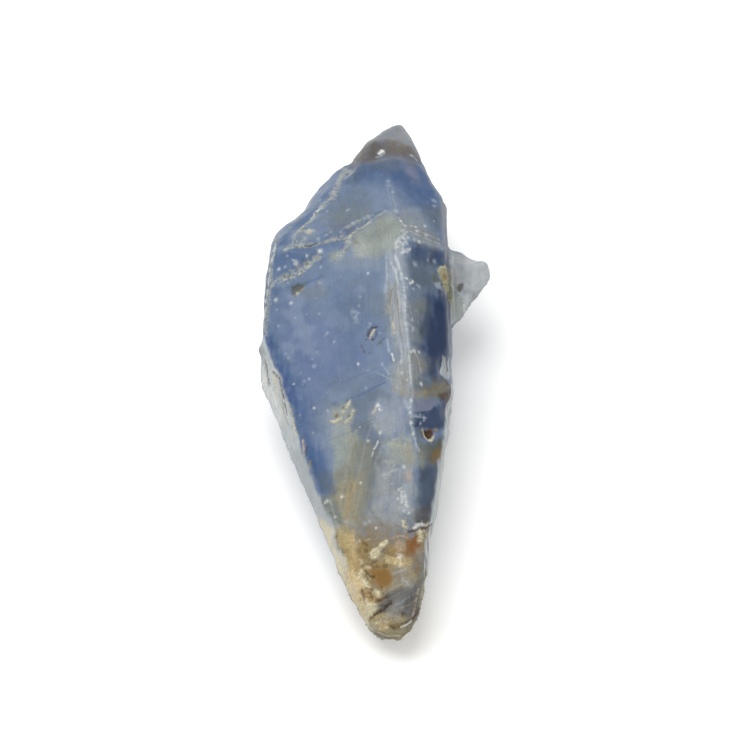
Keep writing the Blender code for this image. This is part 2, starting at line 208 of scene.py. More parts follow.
# Zones of colour in the crystal: colour, softness of the edge in mm, strength, outline in pixels.
ZONES = {
    "under the cap": (
        ("deep", 0.6, 0.95, (348, 165), (366, 158), (385, 157), (405, 159), (420, 163), (430, 178),
            (438, 192), (443, 206), (430, 207), (416, 201), (404, 193), (392, 187), (376, 181), (358, 181),
            (346, 178)),
        ("slate", 0.35, 0.5, (344, 170), (358, 160), (372, 160), (366, 174), (354, 184), (344, 186)),
        ("sky", 0.65, 0.75, (368, 189), (380, 185), (396, 190), (404, 200), (402, 211), (386, 212),
            (372, 208), (364, 198)),
        ("deep", 0.45, 0.5, (402, 180), (424, 184), (438, 200), (436, 210), (420, 206), (408, 198)),
        ("steel", 0.45, 0.8, (345, 192), (360, 186), (368, 196), (366, 210), (350, 214), (336, 212),
            (334, 204)),
        ("slate", 0.25, 0.5, (372, 158), (396, 158), (404, 170), (386, 176), (370, 172)),
        ("blue", 0.25, 1.0, (344, 166), (330, 178), (312, 195), (304, 208), (318, 208), (330, 196),
            (338, 182)),
        ("deep", 0.2, 0.45, (318, 206), (308, 210), (296, 222), (292, 232), (304, 226), (314, 214)),
        ("mauve", 0.25, 1.0, (402, 161), (410, 164), (420, 175), (428, 188), (416, 183), (405, 171)),
        ("deep", 0.2, 0.6, (420, 168), (432, 174), (441, 196), (428, 196), (418, 182)),
        ("deep", 0.25, 0.3, (344, 170), (332, 178), (316, 196), (326, 200), (338, 184)),
    ),
    "upper middle": (
        ("moss", 0.55, 0.5, (334, 206), (352, 205), (372, 211), (380, 213), (366, 223), (352, 231),
            (344, 238), (334, 236), (328, 220)),
        ("sage", 0.25, 0.85, (350, 243), (357, 233), (369, 225), (382, 216), (394, 214), (402, 222),
            (404, 236), (398, 248), (386, 254), (370, 257), (356, 256), (348, 250)),
        ("fog", 0.3, 0.7, (384, 213), (400, 210), (418, 212), (428, 222), (438, 233), (430, 240),
            (416, 238), (404, 230), (396, 222)),
        ("moss", 0.25, 0.35, (366, 236), (374, 226), (384, 220), (392, 226), (388, 236), (378, 242),
            (368, 242)),
        ("ash", 0.25, 0.5, (351, 244), (360, 240), (367, 248), (362, 255), (353, 253)),
        ("sage", 0.15, 0.7, (330, 252), (337, 249), (344, 254), (340, 262), (331, 261)),
        ("milk", 0.3, 0.3, (330, 262), (350, 255), (380, 254), (392, 262), (380, 270), (350, 271),
            (332, 268)),
        ("slate", 0.3, 0.8, (424, 207), (442, 205), (448, 230), (436, 229), (428, 220)),
        ("fog", 0.2, 0.6, (402, 226), (420, 228), (436, 236), (449, 250), (436, 249), (420, 245),
            (408, 239)),
        ("moss", 0.2, 0.4, (412, 226), (430, 230), (444, 241), (436, 245), (418, 239)),
    ),
    "middle of the back": (
        ("milk", 0.25, 0.4, (294, 232), (312, 231), (318, 239), (304, 242), (296, 240)),
        ("deep", 0.6, 0.6, (266, 240), (292, 242), (330, 244), (318, 257), (296, 270), (266, 276)),
        ("deep", 0.45, 0.4, (262, 285), (284, 285), (280, 330), (262, 337)),
        ("deep", 0.65, 0.35, (335, 290), (365, 290), (372, 330), (350, 365), (338, 360), (330, 320)),
        ("sky", 0.65, 0.35, (296, 320), (330, 318), (345, 345), (335, 372), (312, 365), (300, 345)),
        ("sky", 0.5, 0.4, (362, 340), (390, 350), (388, 368), (370, 372), (360, 358)),
        ("steel", 0.5, 0.6, (306, 404), (326, 400), (334, 420), (330, 440), (312, 438)),
        ("steel", 0.45, 0.6, (338, 370), (372, 367), (380, 384), (350, 396), (328, 397)),
        ("slate", 0.3, 0.55, (348, 398), (372, 389), (382, 395), (368, 410), (354, 420), (346, 412)),
        ("milk", 0.4, 0.5, (326, 410), (340, 405), (350, 420), (345, 438), (332, 442), (325, 425)),
        ("deep", 0.2, 0.4, (272, 236), (288, 234), (292, 246), (276, 250)),
    ),
    # The navy zones right of the ridge are partly clear blue and partly painted shade of faces turned from
    # the light.
    "right side": (
        ("navy", 0.2, 0.75, (412, 247), (428, 246), (448, 250), (453, 264), (448, 271), (438, 268),
            (424, 266), (414, 258)),
        ("slate", 0.3, 0.85, (408, 258), (424, 262), (440, 267), (433, 280), (441, 291), (428, 293),
            (416, 288), (408, 276)),
        ("steel", 0.3, 0.75, (408, 285), (424, 289), (432, 298), (430, 313), (418, 321), (406, 312)),
        ("milk", 0.3, 0.55, (386, 248), (404, 250), (408, 285), (410, 330), (412, 380), (404, 400),
            (396, 372), (388, 330), (384, 290)),
        ("tan", 0.25, 0.25, (390, 285), (402, 290), (404, 340), (398, 370), (392, 340)),
        ("moss", 0.25, 0.35, (386, 292), (396, 286), (398, 300), (394, 318), (386, 312)),
        ("blue", 0.25, 0.55, (388, 338), (400, 336), (402, 362), (396, 378), (386, 370)),
        ("navy", 0.4, 1.0, (436, 296), (443, 285), (456, 306), (458, 330), (454, 357), (441, 372),
            (428, 382), (422, 376), (424, 360), (420, 346), (424, 330), (430, 312)),
        ("moss", 0.2, 0.3, (414, 300), (426, 302), (430, 311), (422, 317), (412, 314)),
        ("blue", 0.2, 0.6, (408, 312), (420, 312), (424, 320), (414, 325)),
        ("navy", 0.2, 0.3, (416, 318), (428, 317), (432, 329), (420, 326)),
        ("moss", 0.3, 0.5, (408, 300), (422, 296), (428, 306), (425, 318), (426, 334), (420, 345),
            (409, 344), (407, 320)),
        ("navy", 0.25, 0.65, (423, 296), (436, 290), (445, 300), (445, 340), (428, 346), (420, 330)),
        ("navy", 0.12, 0.6, (412, 345), (424, 346), (430, 353), (418, 352)),
        ("milk", 0.4, 0.5, (402, 352), (416, 350), (426, 362), (424, 384), (404, 390)),
        ("moss", 0.4, 0.6, (402, 354), (414, 352), (424, 358), (428, 366), (422, 374), (424, 384),
            (412, 390), (398, 388), (396, 372)),
        ("drab", 0.3, 0.35, (411, 355), (421, 358), (426, 366), (420, 374), (411, 372)),
        ("milk", 0.3, 0.5, (390, 366), (404, 364), (404, 396), (394, 398)),
        ("drab", 0.25, 0.25, (393, 372), (403, 370), (402, 390), (394, 392)),
        ("slate", 0.15, 0.7, (416, 380), (428, 380), (435, 384), (430, 391), (418, 391)),
        ("soot", 0.15, 0.45, (430, 378), (446, 375), (448, 386), (434, 388)),
        ("moss", 0.2, 0.7, (420, 389), (436, 384), (452, 381), (452, 393), (438, 399), (422, 400)),
        ("taupe", 0.2, 0.45, (424, 389), (436, 385), (452, 382), (452, 392), (438, 398), (426, 398)),
        ("tan", 0.2, 0.35, (400, 390), (420, 390), (424, 398), (412, 402), (400, 399)),
        ("umber", 0.12, 0.85, (438, 395), (453, 388), (452, 403), (441, 403)),
        ("slate", 0.2, 0.8, (409, 413), (420, 413), (423, 436), (415, 441), (409, 430)),
        ("navy", 0.15, 0.85, (419, 412), (434, 407), (446, 402), (452, 412), (447, 428), (438, 431),
            (426, 429), (417, 424)),
        ("olive", 0.2, 0.9, (417, 440), (428, 442), (444, 438), (443, 450), (438, 464), (424, 464),
            (417, 454)),
        ("rust", 0.15, 0.8, (430, 450), (444, 446), (443, 468), (432, 467)),
        ("olive", 0.15, 0.4, (428, 448), (440, 446), (438, 466), (428, 466)),
        ("slate", 0.2, 1.0, (418, 463), (444, 465), (442, 490), (438, 512), (432, 528), (412, 527),
            (408, 514), (416, 508), (417, 485)),
        ("navy", 0.2, 0.55, (420, 466), (442, 466), (438, 495), (432, 512), (422, 512), (420, 488)),
        ("soot", 0.25, 0.65, (412, 508), (432, 503), (430, 528), (412, 528)),
    ),
    "left edge": (
        ("deep", 0.6, 1.0, (258, 330), (270, 352), (278, 372), (288, 395), (296, 420), (304, 446),
            (314, 476), (320, 493), (336, 492), (333, 478), (322, 455), (312, 430), (306, 405), (298, 385),
            (288, 362), (272, 334)),
        ("indigo", 0.3, 0.9, (262, 336), (274, 356), (284, 380), (293, 400), (287, 402), (276, 380),
            (264, 352)),
        ("deep", 0.3, 0.9, (306, 440), (322, 458), (336, 478), (335, 492), (322, 492), (310, 466)),
    ),
    "lower back": (
        ("milk", 0.3, 0.8, (374, 414), (392, 412), (398, 424), (390, 434), (376, 430)),
        ("lilac", 0.35, 0.7, (374, 402), (392, 396), (406, 400), (408, 425), (398, 436), (384, 430),
            (372, 420)),
        ("slate", 0.3, 0.6, (352, 420), (366, 418), (379, 432), (380, 450), (372, 470), (362, 455),
            (352, 440)),
        ("sage", 0.5, 0.6, (336, 420), (352, 426), (360, 445), (358, 470), (346, 484), (336, 474),
            (332, 450)),
        ("khaki", 0.35, 0.45, (346, 428), (354, 432), (360, 450), (358, 474), (348, 486), (344, 462),
            (346, 446)),
        ("sage", 0.2, 0.5, (334, 440), (339, 438), (342, 470), (338, 492), (333, 470)),
        ("moss", 0.25, 0.5, (352, 440), (362, 446), (364, 470), (356, 492), (350, 470)),
        ("moss", 0.3, 0.95, (356, 446), (372, 440), (382, 452), (381, 478), (373, 505), (360, 518),
            (356, 500), (362, 470)),
        ("slate", 0.25, 0.55, (372, 440), (384, 440), (384, 468), (378, 492), (370, 486), (374, 462)),
        ("sky", 0.2, 0.5, (324, 426), (331, 425), (333, 470), (329, 480), (323, 455)),
        ("moss", 0.4, 0.9, (338, 470), (352, 468), (360, 486), (352, 530), (340, 530), (330, 500)),
        ("khaki", 0.5, 0.65, (342, 478), (362, 474), (370, 490), (368, 520), (356, 534), (338, 530),
            (333, 500)),
        ("moss", 0.3, 0.7, (358, 478), (372, 478), (374, 500), (372, 522), (360, 530), (356, 505)),
        ("gold", 0.35, 0.35, (345, 484), (357, 483), (358, 500), (348, 512), (343, 496)),
        ("moss", 0.15, 0.95, (318, 497), (332, 494), (339, 510), (343, 545), (339, 560), (330, 545),
            (322, 514)),
        ("moss", 0.3, 0.35, (384, 440), (398, 438), (402, 456), (392, 468), (382, 456)),
        ("sage", 0.45, 0.6, (384, 440), (410, 437), (420, 446), (421, 462), (408, 470), (390, 466),
            (382, 456)),
        ("khaki", 0.2, 0.35, (388, 442), (400, 439), (404, 446), (394, 452)),
        ("fog", 0.2, 0.5, (382, 452), (394, 452), (398, 464), (388, 470), (380, 464)),
        ("khaki", 0.3, 0.5, (398, 444), (410, 442), (418, 452), (416, 464), (408, 466), (401, 456)),
        ("fog", 0.25, 1.0, (377, 468), (411, 468), (414, 484), (412, 512), (396, 516), (373, 511),
            (376, 492)),
        ("lilac", 0.15, 0.5, (384, 494), (400, 494), (398, 510), (378, 508)),
        ("rose", 0.12, 0.4, (404, 471), (412, 470), (413, 480), (405, 481)),
        ("steel", 0.2, 0.45, (388, 473), (404, 471), (406, 486), (392, 488)),
        ("fog", 0.4, 0.95, (372, 506), (403, 512), (404, 528), (392, 534), (374, 532), (364, 522)),
        ("drab", 0.4, 0.6, (362, 516), (384, 524), (400, 524), (404, 536), (380, 540), (360, 534)),
    ),
    "near tip": (
        ("fog", 0.15, 0.85, (397, 506), (413, 508), (417, 528), (402, 534), (396, 522)),
        ("slate", 0.15, 0.5, (400, 512), (414, 514), (415, 528), (402, 530)),
        ("flint", 0.4, 0.9, (340, 540), (356, 536), (380, 540), (402, 536), (424, 530), (438, 528),
            (436, 560), (432, 600), (420, 646), (372, 648), (350, 606), (336, 560)),
        ("tan", 0.4, 0.85, (330, 531), (346, 525), (358, 533), (372, 540), (386, 546), (398, 541),
            (412, 533), (424, 530), (438, 528), (436, 560), (432, 596), (424, 616), (402, 604), (384, 600),
            (366, 610), (346, 592), (336, 560)),
        ("drab", 0.4, 0.85, (364, 527), (376, 528), (388, 533), (402, 528), (414, 530), (411, 540),
            (397, 546), (384, 550), (372, 548), (365, 540)),
        ("gold", 0.2, 0.85, (341, 530), (352, 527), (358, 545), (359, 568), (354, 582), (346, 566),
            (340, 545)),
        ("peach", 0.2, 0.8, (347, 533), (354, 533), (358, 548), (358, 568), (354, 576), (349, 556)),
        ("taupe", 0.25, 0.5, (356, 534), (370, 536), (374, 546), (366, 556), (358, 552)),
        ("bronze", 0.2, 0.6, (359, 541), (370, 540), (374, 551), (368, 562), (380, 566), (378, 573),
            (362, 571), (357, 556)),
        ("bronze", 0.15, 0.7, (388, 545), (399, 546), (404, 554), (396, 558), (386, 554)),
        ("rust", 0.2, 0.75, (403, 545), (418, 548), (421, 558), (410, 562), (403, 556)),
        ("ochre", 0.2, 1.0, (406, 536), (419, 534), (422, 550), (409, 551)),
        ("ochre", 0.15, 0.8, (405, 540), (416, 539), (417, 556), (406, 557)),
        ("peach", 0.15, 0.6, (386, 554), (398, 557), (410, 561), (405, 568), (394, 568), (387, 564)),
        ("bronze", 0.25, 0.5, (374, 561), (390, 563), (398, 576), (384, 582), (371, 571)),
        ("rust", 0.2, 1.0, (368, 571), (386, 569), (394, 577), (388, 587), (376, 591), (370, 584)),
        ("flint", 0.2, 0.75, (411, 557), (428, 553), (430, 582), (418, 592), (411, 578)),
        ("fog", 0.2, 0.3, (392, 569), (408, 567), (414, 578), (406, 586), (392, 584)),
        ("drab", 0.2, 0.5, (392, 569), (408, 567), (414, 578), (406, 586), (392, 584)),
        ("peach", 0.15, 0.95, (349, 574), (359, 574), (363, 588), (365, 600), (361, 613), (352, 606),
            (346, 590)),
        ("peach", 0.15, 0.5, (358, 586), (372, 590), (372, 604), (360, 602)),
        ("bronze", 0.15, 0.6, (360, 588), (372, 590), (384, 594), (386, 602), (374, 605), (361, 602)),
        ("flint", 0.2, 1.0, (385, 594), (400, 587), (422, 582), (432, 600), (426, 618), (404, 622),
            (390, 614), (383, 603)),
        ("slate", 0.15, 0.35, (403, 590), (414, 587), (417, 604), (407, 611), (399, 602)),
        ("soot", 0.15, 0.4, (404, 592), (414, 588), (415, 602), (406, 608)),
        ("drab", 0.15, 0.6, (384, 608), (393, 604), (399, 611), (392, 618), (380, 617)),
        ("warm_pale", 0.15, 1.0, (355, 603), (378, 603), (381, 609), (372, 618), (360, 616)),
        ("tan", 0.15, 0.95, (362, 617), (382, 612), (396, 615), (412, 618), (419, 630), (404, 645),
            (382, 647), (364, 635)),
        ("moss", 0.12, 0.5, (364, 621), (375, 622), (378, 631), (371, 635), (362, 629)),
        ("fog", 0.15, 0.3, (386, 600), (400, 598), (404, 612), (394, 620), (386, 614)),
        ("peach", 0.12, 0.6, (376, 623), (390, 622), (391, 629), (379, 631)),
        ("taupe", 0.12, 0.7, (388, 623), (399, 622), (400, 631), (389, 631)),
        ("flint", 0.1, 0.6, (403, 621), (414, 618), (415, 630), (404, 631)),
        ("moss", 0.15, 0.75, (368, 631), (384, 634), (400, 634), (414, 629), (419, 640), (390, 651),
            (366, 643)),
        ("tan", 0.08, 0.6, (388, 635), (400, 634), (411, 630), (404, 641), (388, 641)),
    ),
    # The side strips and the thin right rim are painted pale: partly frosted skin, partly a painted
    # reflection of the pale floor at grazing angles and of its light through the thin edges.
    "side strips": (
        ("pale", 0.1, 1.0, (262, 335), (270, 352), (278, 375), (288, 400), (296, 430), (303, 457),
            (315, 492), (330, 520), (338, 545), (350, 580), (366, 612), (352, 618), (330, 575), (315, 540),
            (302, 508), (290, 480), (278, 450), (266, 420), (256, 395), (250, 365), (246, 350), (254, 338)),
        ("chalk", 0.15, 0.15, (258, 336), (266, 345), (272, 362), (264, 366), (256, 350)),
        ("chalk", 0.25, 0.55, (256, 366), (268, 372), (276, 398), (284, 420), (276, 424), (264, 400),
            (254, 385)),
        ("fin", 0.2, 0.8, (292, 450), (302, 450), (316, 494), (336, 526), (322, 532), (306, 500),
            (296, 470)),
        ("warm_pale", 0.25, 0.9, (314, 512), (330, 528), (338, 552), (350, 582), (366, 612), (374, 630),
            (352, 622), (332, 584), (316, 545)),
        ("slate", 0.2, 0.8, (316, 474), (328, 470), (335, 492), (325, 494)),
        ("cream", 0.3, 0.45, (336, 560), (346, 570), (364, 604), (370, 620), (356, 616), (338, 586)),
        ("peach", 0.2, 0.45, (342, 566), (356, 584), (370, 608), (360, 618), (346, 596)),
        ("pale", 0.08, 1.0, (452, 396), (466, 396), (464, 430), (458, 465), (452, 495), (446, 534),
            (430, 534), (434, 500), (439, 465), (444, 430), (449, 406)),
        ("cap_grey", 0.15, 0.95, (250, 338), (260, 340), (262, 352), (260, 366), (254, 362)),
        ("haze", 0.08, 0.6, (443, 198), (449, 214), (451, 240), (456, 262), (459, 300), (458, 320),
            (455, 300), (451, 265), (448, 240), (445, 215)),
    ),
    # The fin is painted pale grey with brighter frost patches: partly its own pale colour, partly a painted
    # reflection of the white surroundings on its smooth faces.
    "fin": (
        ("fin", 0.08, 1.0, (451, 252), (490, 262), (496, 280), (468, 308), (462, 324), (450, 326),
            (452, 290), (450, 265)),
        ("frost", 0.25, 0.6, (466, 256), (480, 258), (494, 268), (492, 284), (476, 294), (466, 288),
            (465, 268)),
        ("frost", 0.2, 0.75, (458, 294), (470, 296), (466, 308), (460, 316), (456, 306)),
    ),
    "cap": (
        ("cap_grey", 0.15, 1.0, (354, 158), (360, 141), (372, 132), (382, 126), (395, 120), (408, 127),
            (416, 144), (402, 144), (388, 141), (376, 143), (366, 150)),
        ("sage", 0.15, 0.4, (358, 145), (366, 135), (378, 131), (376, 138), (366, 146)),
        ("cap_brown", 0.2, 1.0, (348, 166), (360, 150), (372, 143), (386, 140), (400, 142), (414, 145),
            (421, 155), (422, 164), (405, 161), (386, 159), (368, 162)),
        ("moss", 0.15, 0.4, (350, 160), (356, 151), (364, 147), (364, 154), (356, 160)),
        ("soot", 0.2, 0.45, (356, 160), (364, 150), (376, 144), (384, 148), (377, 157), (366, 162),
            (352, 168)),
        ("taupe", 0.15, 0.3, (388, 141), (400, 143), (416, 148), (412, 152), (398, 150), (388, 147)),
    ),
}

# Marks on the surface, lowest first. A line, a granular seam and a band of wear have their width in mm and
# their strength, a patch its softness and its strength, and each dot its radius in mm.
MARKS = {
    "shoulder fissure": (
        ("seam", "ash", 0.35, 0.75, (346, 166), (343, 174), (339, 182), (336, 189), (333, 196), (328, 202),
            (321, 208), (316, 214), (312, 220), (305, 225), (299, 231)),
        ("line", "sage", 0.2, 0.6, (345, 169), (342, 178)),
        ("seam", "rose", 0.12, 0.35, (338, 184), (334, 193), (330, 200)),
        ("seam", "chalk", 0.15, 0.6, (321, 208), (316, 213), (312, 219)),
        ("seam", "cream", 0.12, 0.5, (308, 223), (301, 229)),
        ("dots", "umber", (303, 229, 0.05), (316, 214, 0.05)),
        ("seam", "ash", 0.25, 0.85, (312, 231), (305, 231), (299, 231)),
        ("dots", "cream", (309, 232, 0.11)),
        ("seam", "ash", 0.2, 0.75, (298, 232), (294, 237), (296, 242), (290, 245), (285, 249)),
        ("seam", "ash", 0.2, 0.6, (305, 239), (301, 243), (296, 244)),
        ("seam", "ash", 0.25, 0.7, (309, 208), (302, 214), (296, 221), (290, 227)),
        ("dots", "haze", (320, 200, 0.06), (324, 202, 0.05), (327, 211, 0.06), (329, 193, 0.05)),
    ),
    "middle fissure": (
        ("seam", "ash", 0.3, 0.8, (285, 250), (293, 247), (302, 246), (312, 246), (322, 243), (332, 240),
            (342, 238), (350, 238)),
        ("seam", "khaki", 0.13, 0.5, (294, 248), (304, 247), (314, 246), (324, 242), (336, 240)),
        ("seam", "haze", 0.12, 0.6, (288, 249), (297, 246), (303, 244)),
        ("line", "olive", 0.12, 0.85, (306, 246), (311, 246), (317, 244)),
        ("dots", "umber", (297, 247, 0.06), (310, 246, 0.07), (317, 244, 0.05), (322, 243, 0.06)),
        ("seam", "ash", 0.25, 0.6, (347, 242), (351, 236), (357, 230), (364, 227), (370, 222)),
        ("seam", "cream", 0.13, 0.7, (347, 242), (351, 236), (357, 230), (364, 227), (370, 222)),
        ("seam", "ash", 0.2, 0.7, (370, 222), (376, 217), (382, 213)),
        # painted shadow: the deep line beside the fissure's upper part
        ("line", "deep", 0.13, 0.6, (366, 221), (374, 215), (380, 212), (387, 209)),
        ("seam", "ash", 0.2, 0.55, (346, 228), (354, 223), (362, 220), (368, 217), (372, 215)),
        ("dots", "haze", (353, 223, 0.08), (369, 217, 0.1), (318, 239, 0.08), (326, 235, 0.08),
            (331, 232, 0.05), (341, 232, 0.06), (385, 211, 0.11), (348, 210, 0.08), (347, 227, 0.07)),
        ("seam", "ash", 0.25, 0.6, (350, 239), (347, 246), (343, 252), (338, 257)),
        ("seam", "ash", 0.12, 0.8, (350, 243), (346, 249), (342, 254)),
        ("dots", "taupe", (346, 250, 0.06), (356, 242, 0.08), (354, 240, 0.05)),
    ),
    "lower fissure": (
        ("seam", "ash", 0.35, 0.75, (280, 281), (286, 277), (292, 274), (299, 271), (305, 267), (312, 262),
            (319, 257)),
        ("seam", "khaki", 0.12, 0.45, (283, 278), (290, 271), (298, 267), (306, 263), (313, 259),
            (319, 256)),
        ("seam", "cream", 0.12, 0.6, (281, 281), (289, 279), (297, 276), (304, 271), (310, 266)),
        ("dots", "umber", (289, 276, 0.07), (285, 277, 0.05), (297, 270, 0.06), (302, 272, 0.05),
            (307, 264, 0.06), (293, 275, 0.04)),
    ),
    "notch": (
        # The olive patch and the soot line are painted shade inside the notch, and khaki fills it.
        ("patch", "olive", 0.08, 0.8, (292, 287), (298, 284), (306, 284), (303, 288), (298, 292),
            (295, 297), (292, 294)),
        ("seam", "khaki", 0.15, 0.9, (296, 295), (300, 291), (304, 288)),
        ("line", "soot", 0.08, 0.5, (292, 294), (293, 288), (298, 285)),
        ("dots", "cream", (297, 294, 0.08)),
        ("line", "deep", 0.12, 0.5, (306, 283), (314, 280), (322, 276)),
        ("patch", "moss", 0.15, 0.25, (300, 292), (318, 284), (330, 290), (322, 300), (304, 300)),
    ),
    "left rim": (
        ("seam", "ash", 0.25, 0.85, (279, 234), (276, 242), (274, 252), (271, 264), (270, 280), (268, 296),
            (267, 310), (266, 322), (265, 335)),
        ("seam", "chalk", 0.12, 0.7, (276, 246), (274, 255), (272, 262)),
        ("seam", "chalk", 0.09, 0.5, (270, 270), (268, 290), (266, 306), (264, 326)),
        ("seam", "soot", 0.07, 0.25, (278, 243), (272, 262), (269, 290), (267, 312), (266, 330)),
        ("dots", "soot", (267, 286, 0.06), (265, 297, 0.06), (266, 305, 0.06), (264, 313, 0.07),
            (265, 320, 0.07), (263, 328, 0.06), (269, 277, 0.05), (277, 243, 0.06)),
        ("dots", "chalk", (273, 251, 0.08), (265, 301, 0.07), (265, 316, 0.06)),
        ("seam", "ash", 0.15, 0.7, (271, 287), (274, 284), (276, 281)),
    ),
    "middle pit": (
        ("line", "umber", 0.08, 0.85, (368, 336), (369, 331), (372, 328), (377, 327)),
        ("line", "umber", 0.07, 0.7, (376, 331), (376, 336), (373, 340), (371, 339)),
        ("seam", "cream", 0.13, 0.95, (374, 330), (372, 334), (370, 338)),
        ("dots", "haze", (370, 324, 0.08), (369, 327, 0.06), (380, 333, 0.05)),
        ("line", "olive", 0.1, 0.5, (361, 346), (364, 352)),
        ("line", "olive", 0.08, 0.5, (384, 338), (380, 342), (377, 345)),
        ("dots", "olive", (380, 343, 0.06), (366, 340, 0.05), (369, 353, 0.05), (364, 352, 0.06)),
    ),
    "ridge": (
        ("wear", "haze", 0.9, 0.45, (392, 236), (395, 250), (397, 275), (399, 300), (401, 325), (404, 350),
            (408, 375), (411, 398)),
        ("wear", "haze", 0.45, 0.6, (396, 250), (400, 275), (403, 300), (405, 330), (408, 360), (410, 385)),
        ("wear", "haze", 0.25, 0.6, (388, 180), (392, 196), (397, 212)),
        ("wear", "haze", 0.4, 0.5, (411, 400), (411, 425), (415, 445)),
        ("seam", "chalk", 0.1, 0.5, (399, 218), (402, 224)),
        ("seam", "chalk", 0.1, 0.5, (404, 229), (405, 235)),
        ("dots", "chalk", (401, 221, 0.06), (405, 226, 0.07), (402, 231, 0.06), (407, 232, 0.05),
            (403, 236, 0.06)),
        ("seam", "chalk", 0.12, 0.7, (396, 243), (399, 239), (402, 237)),
        ("seam", "chalk", 0.12, 0.6, (402, 246), (405, 242)),
        ("dots", "chalk", (397, 247, 0.07), (400, 242, 0.08), (404, 239, 0.07), (408, 238, 0.06),
            (407, 243, 0.07), (403, 249, 0.06)),
        ("seam", "haze", 0.3, 0.35, (397, 241), (402, 237), (408, 238), (405, 244), (399, 246)),
        ("seam", "chalk", 0.15, 0.7, (402, 253), (406, 251), (410, 249)),
        ("seam", "haze", 0.25, 0.6, (394, 255), (397, 262), (400, 270), (402, 279)),
        ("seam", "chalk", 0.1, 0.6, (395, 256), (399, 266), (402, 279)),
        ("seam", "chalk", 0.08, 0.5, (391, 262), (395, 272), (398, 284)),
        ("line", "haze", 0.06, 0.5, (389, 250), (391, 275), (393, 300), (395, 322)),
        ("line", "haze", 0.06, 0.5, (392, 262), (394, 290), (397, 318), (400, 345), (402, 360)),
        ("line", "ash", 0.06, 0.5, (397, 262), (399, 290), (401, 315), (403, 340)),
        ("line", "haze", 0.05, 0.5, (386, 262), (387, 285), (386, 300)),
        ("line", "ash", 0.07, 0.45, (390, 300), (391, 318), (392, 336)),
        ("line", "drab", 0.08, 0.45, (394, 296), (393, 312), (394, 330)),
        ("line", "drab", 0.08, 0.4, (398, 300), (399, 322), (401, 342)),
        ("line", "haze", 0.06, 0.55, (400, 284), (402, 305), (403, 325), (405, 345), (407, 365)),
        ("line", "chalk", 0.05, 0.5, (396, 268), (398, 290), (400, 312)),
        ("line", "slate", 0.06, 0.4, (393, 280), (395, 300), (397, 330)),
        ("line", "slate", 0.06, 0.4, (404, 348), (406, 366), (407, 384)),
        ("seam", "haze", 0.17, 0.6, (403, 279), (404, 292), (405, 305), (405, 318), (407, 330)),
        ("seam", "chalk", 0.08, 0.5, (404, 284), (405, 300), (405, 312)),
        ("seam", "chalk", 0.07, 0.45, (406, 322), (407, 336), (409, 346)),
        ("line", "haze", 0.12, 0.5, (407, 330), (408, 342), (409, 354), (410, 366), (411, 378), (413, 390),
            (412, 400)),
        ("seam", "chalk", 0.08, 0.5, (409, 356), (410, 370), (411, 384)),
        ("seam", "haze", 0.11, 0.7, (411, 398), (411, 410), (411, 424), (414, 434), (416, 443), (419, 451)),
        ("dots", "chalk", (411, 401, 0.07), (409, 408, 0.06), (411, 423, 0.08), (413, 434, 0.06),
            (410, 413, 0.05)),
        ("seam", "chalk", 0.12, 0.85, (406, 278), (410, 280), (413, 282), (408, 284)),
        ("seam", "haze", 0.1, 0.7, (386, 255), (387, 275), (385, 292)),
        ("seam", "khaki", 0.15, 0.6, (395, 284), (392, 292), (390, 300), (388, 312)),
        ("line", "olive", 0.06, 0.5, (396, 282), (391, 292), (389, 303)),
        ("seam", "cream", 0.12, 0.8, (393, 322), (394, 328), (395, 333)),
        ("seam", "milk", 0.15, 0.6, (393, 300), (395, 320), (397, 345)),
        ("seam", "haze", 0.12, 0.6, (398, 335), (401, 348), (403, 362)),
        ("dots", "chalk", (411, 226, 0.05), (416, 227, 0.06), (417, 231, 0.07), (425, 226, 0.06),
            (426, 235, 0.07), (419, 242, 0.08), (414, 240, 0.05)),
        ("seam", "haze", 0.1, 0.7, (410, 231), (420, 236), (430, 240), (441, 245), (445, 247)),
        ("seam", "haze", 0.08, 0.6, (418, 230), (428, 235), (438, 239), (443, 242)),
        ("seam", "haze", 0.1, 0.5, (414, 238), (424, 242), (436, 246), (443, 249)),
        ("line", "slate", 0.12, 0.6, (408, 243), (416, 244), (424, 246)),
        ("dots", "taupe", (423, 231, 0.06)),
        ("dots", "haze", (407, 287, 0.07), (414, 289, 0.06), (417, 285, 0.05), (415, 264, 0.11),
            (428, 260, 0.07), (434, 261, 0.09), (419, 287, 0.08), (413, 289, 0.06)),
        ("dots", "haze", (410, 307, 0.05), (411, 313, 0.05), (412, 320, 0.08), (413, 329, 0.08),
            (408, 345, 0.08), (412, 318, 0.05), (416, 311, 0.04)),
        ("seam", "haze", 0.15, 0.5, (409, 324), (414, 328), (412, 332)),
        ("dots", "chalk", (414, 351, 0.08), (419, 352, 0.06), (401, 362, 0.07), (402, 373, 0.06),
            (407, 380, 0.06), (421, 384, 0.08), (411, 352, 0.06)),
        ("seam", "milk", 0.2, 0.5, (402, 356), (405, 366), (404, 378)),
        ("seam", "ash", 0.25, 0.4, (400, 364), (398, 376), (397, 388)),
        ("seam", "drab", 0.25, 0.4, (406, 372), (405, 384), (402, 394)),
        ("seam", "ash", 0.12, 0.5, (415, 352), (419, 362), (421, 372)),
        ("seam", "ash", 0.12, 0.4, (404, 354), (407, 366), (409, 378)),
        ("seam", "tan", 0.25, 0.4, (413, 392), (420, 395), (426, 392)),
        ("line", "chalk", 0.08, 0.85, (392, 354), (393, 358), (394, 361)),
        ("line", "haze", 0.08, 0.8, (387, 339), (388, 345), (389, 352)),
        ("seam", "haze", 0.12, 0.6, (382, 364), (386, 370), (389, 374)),
        ("dots", "haze", (388, 181, 0.05), (389, 186, 0.05), (393, 192, 0.08), (396, 211, 0.1),
            (434, 201, 0.12), (434, 206, 0.08)),
    ),
    "white specks": (
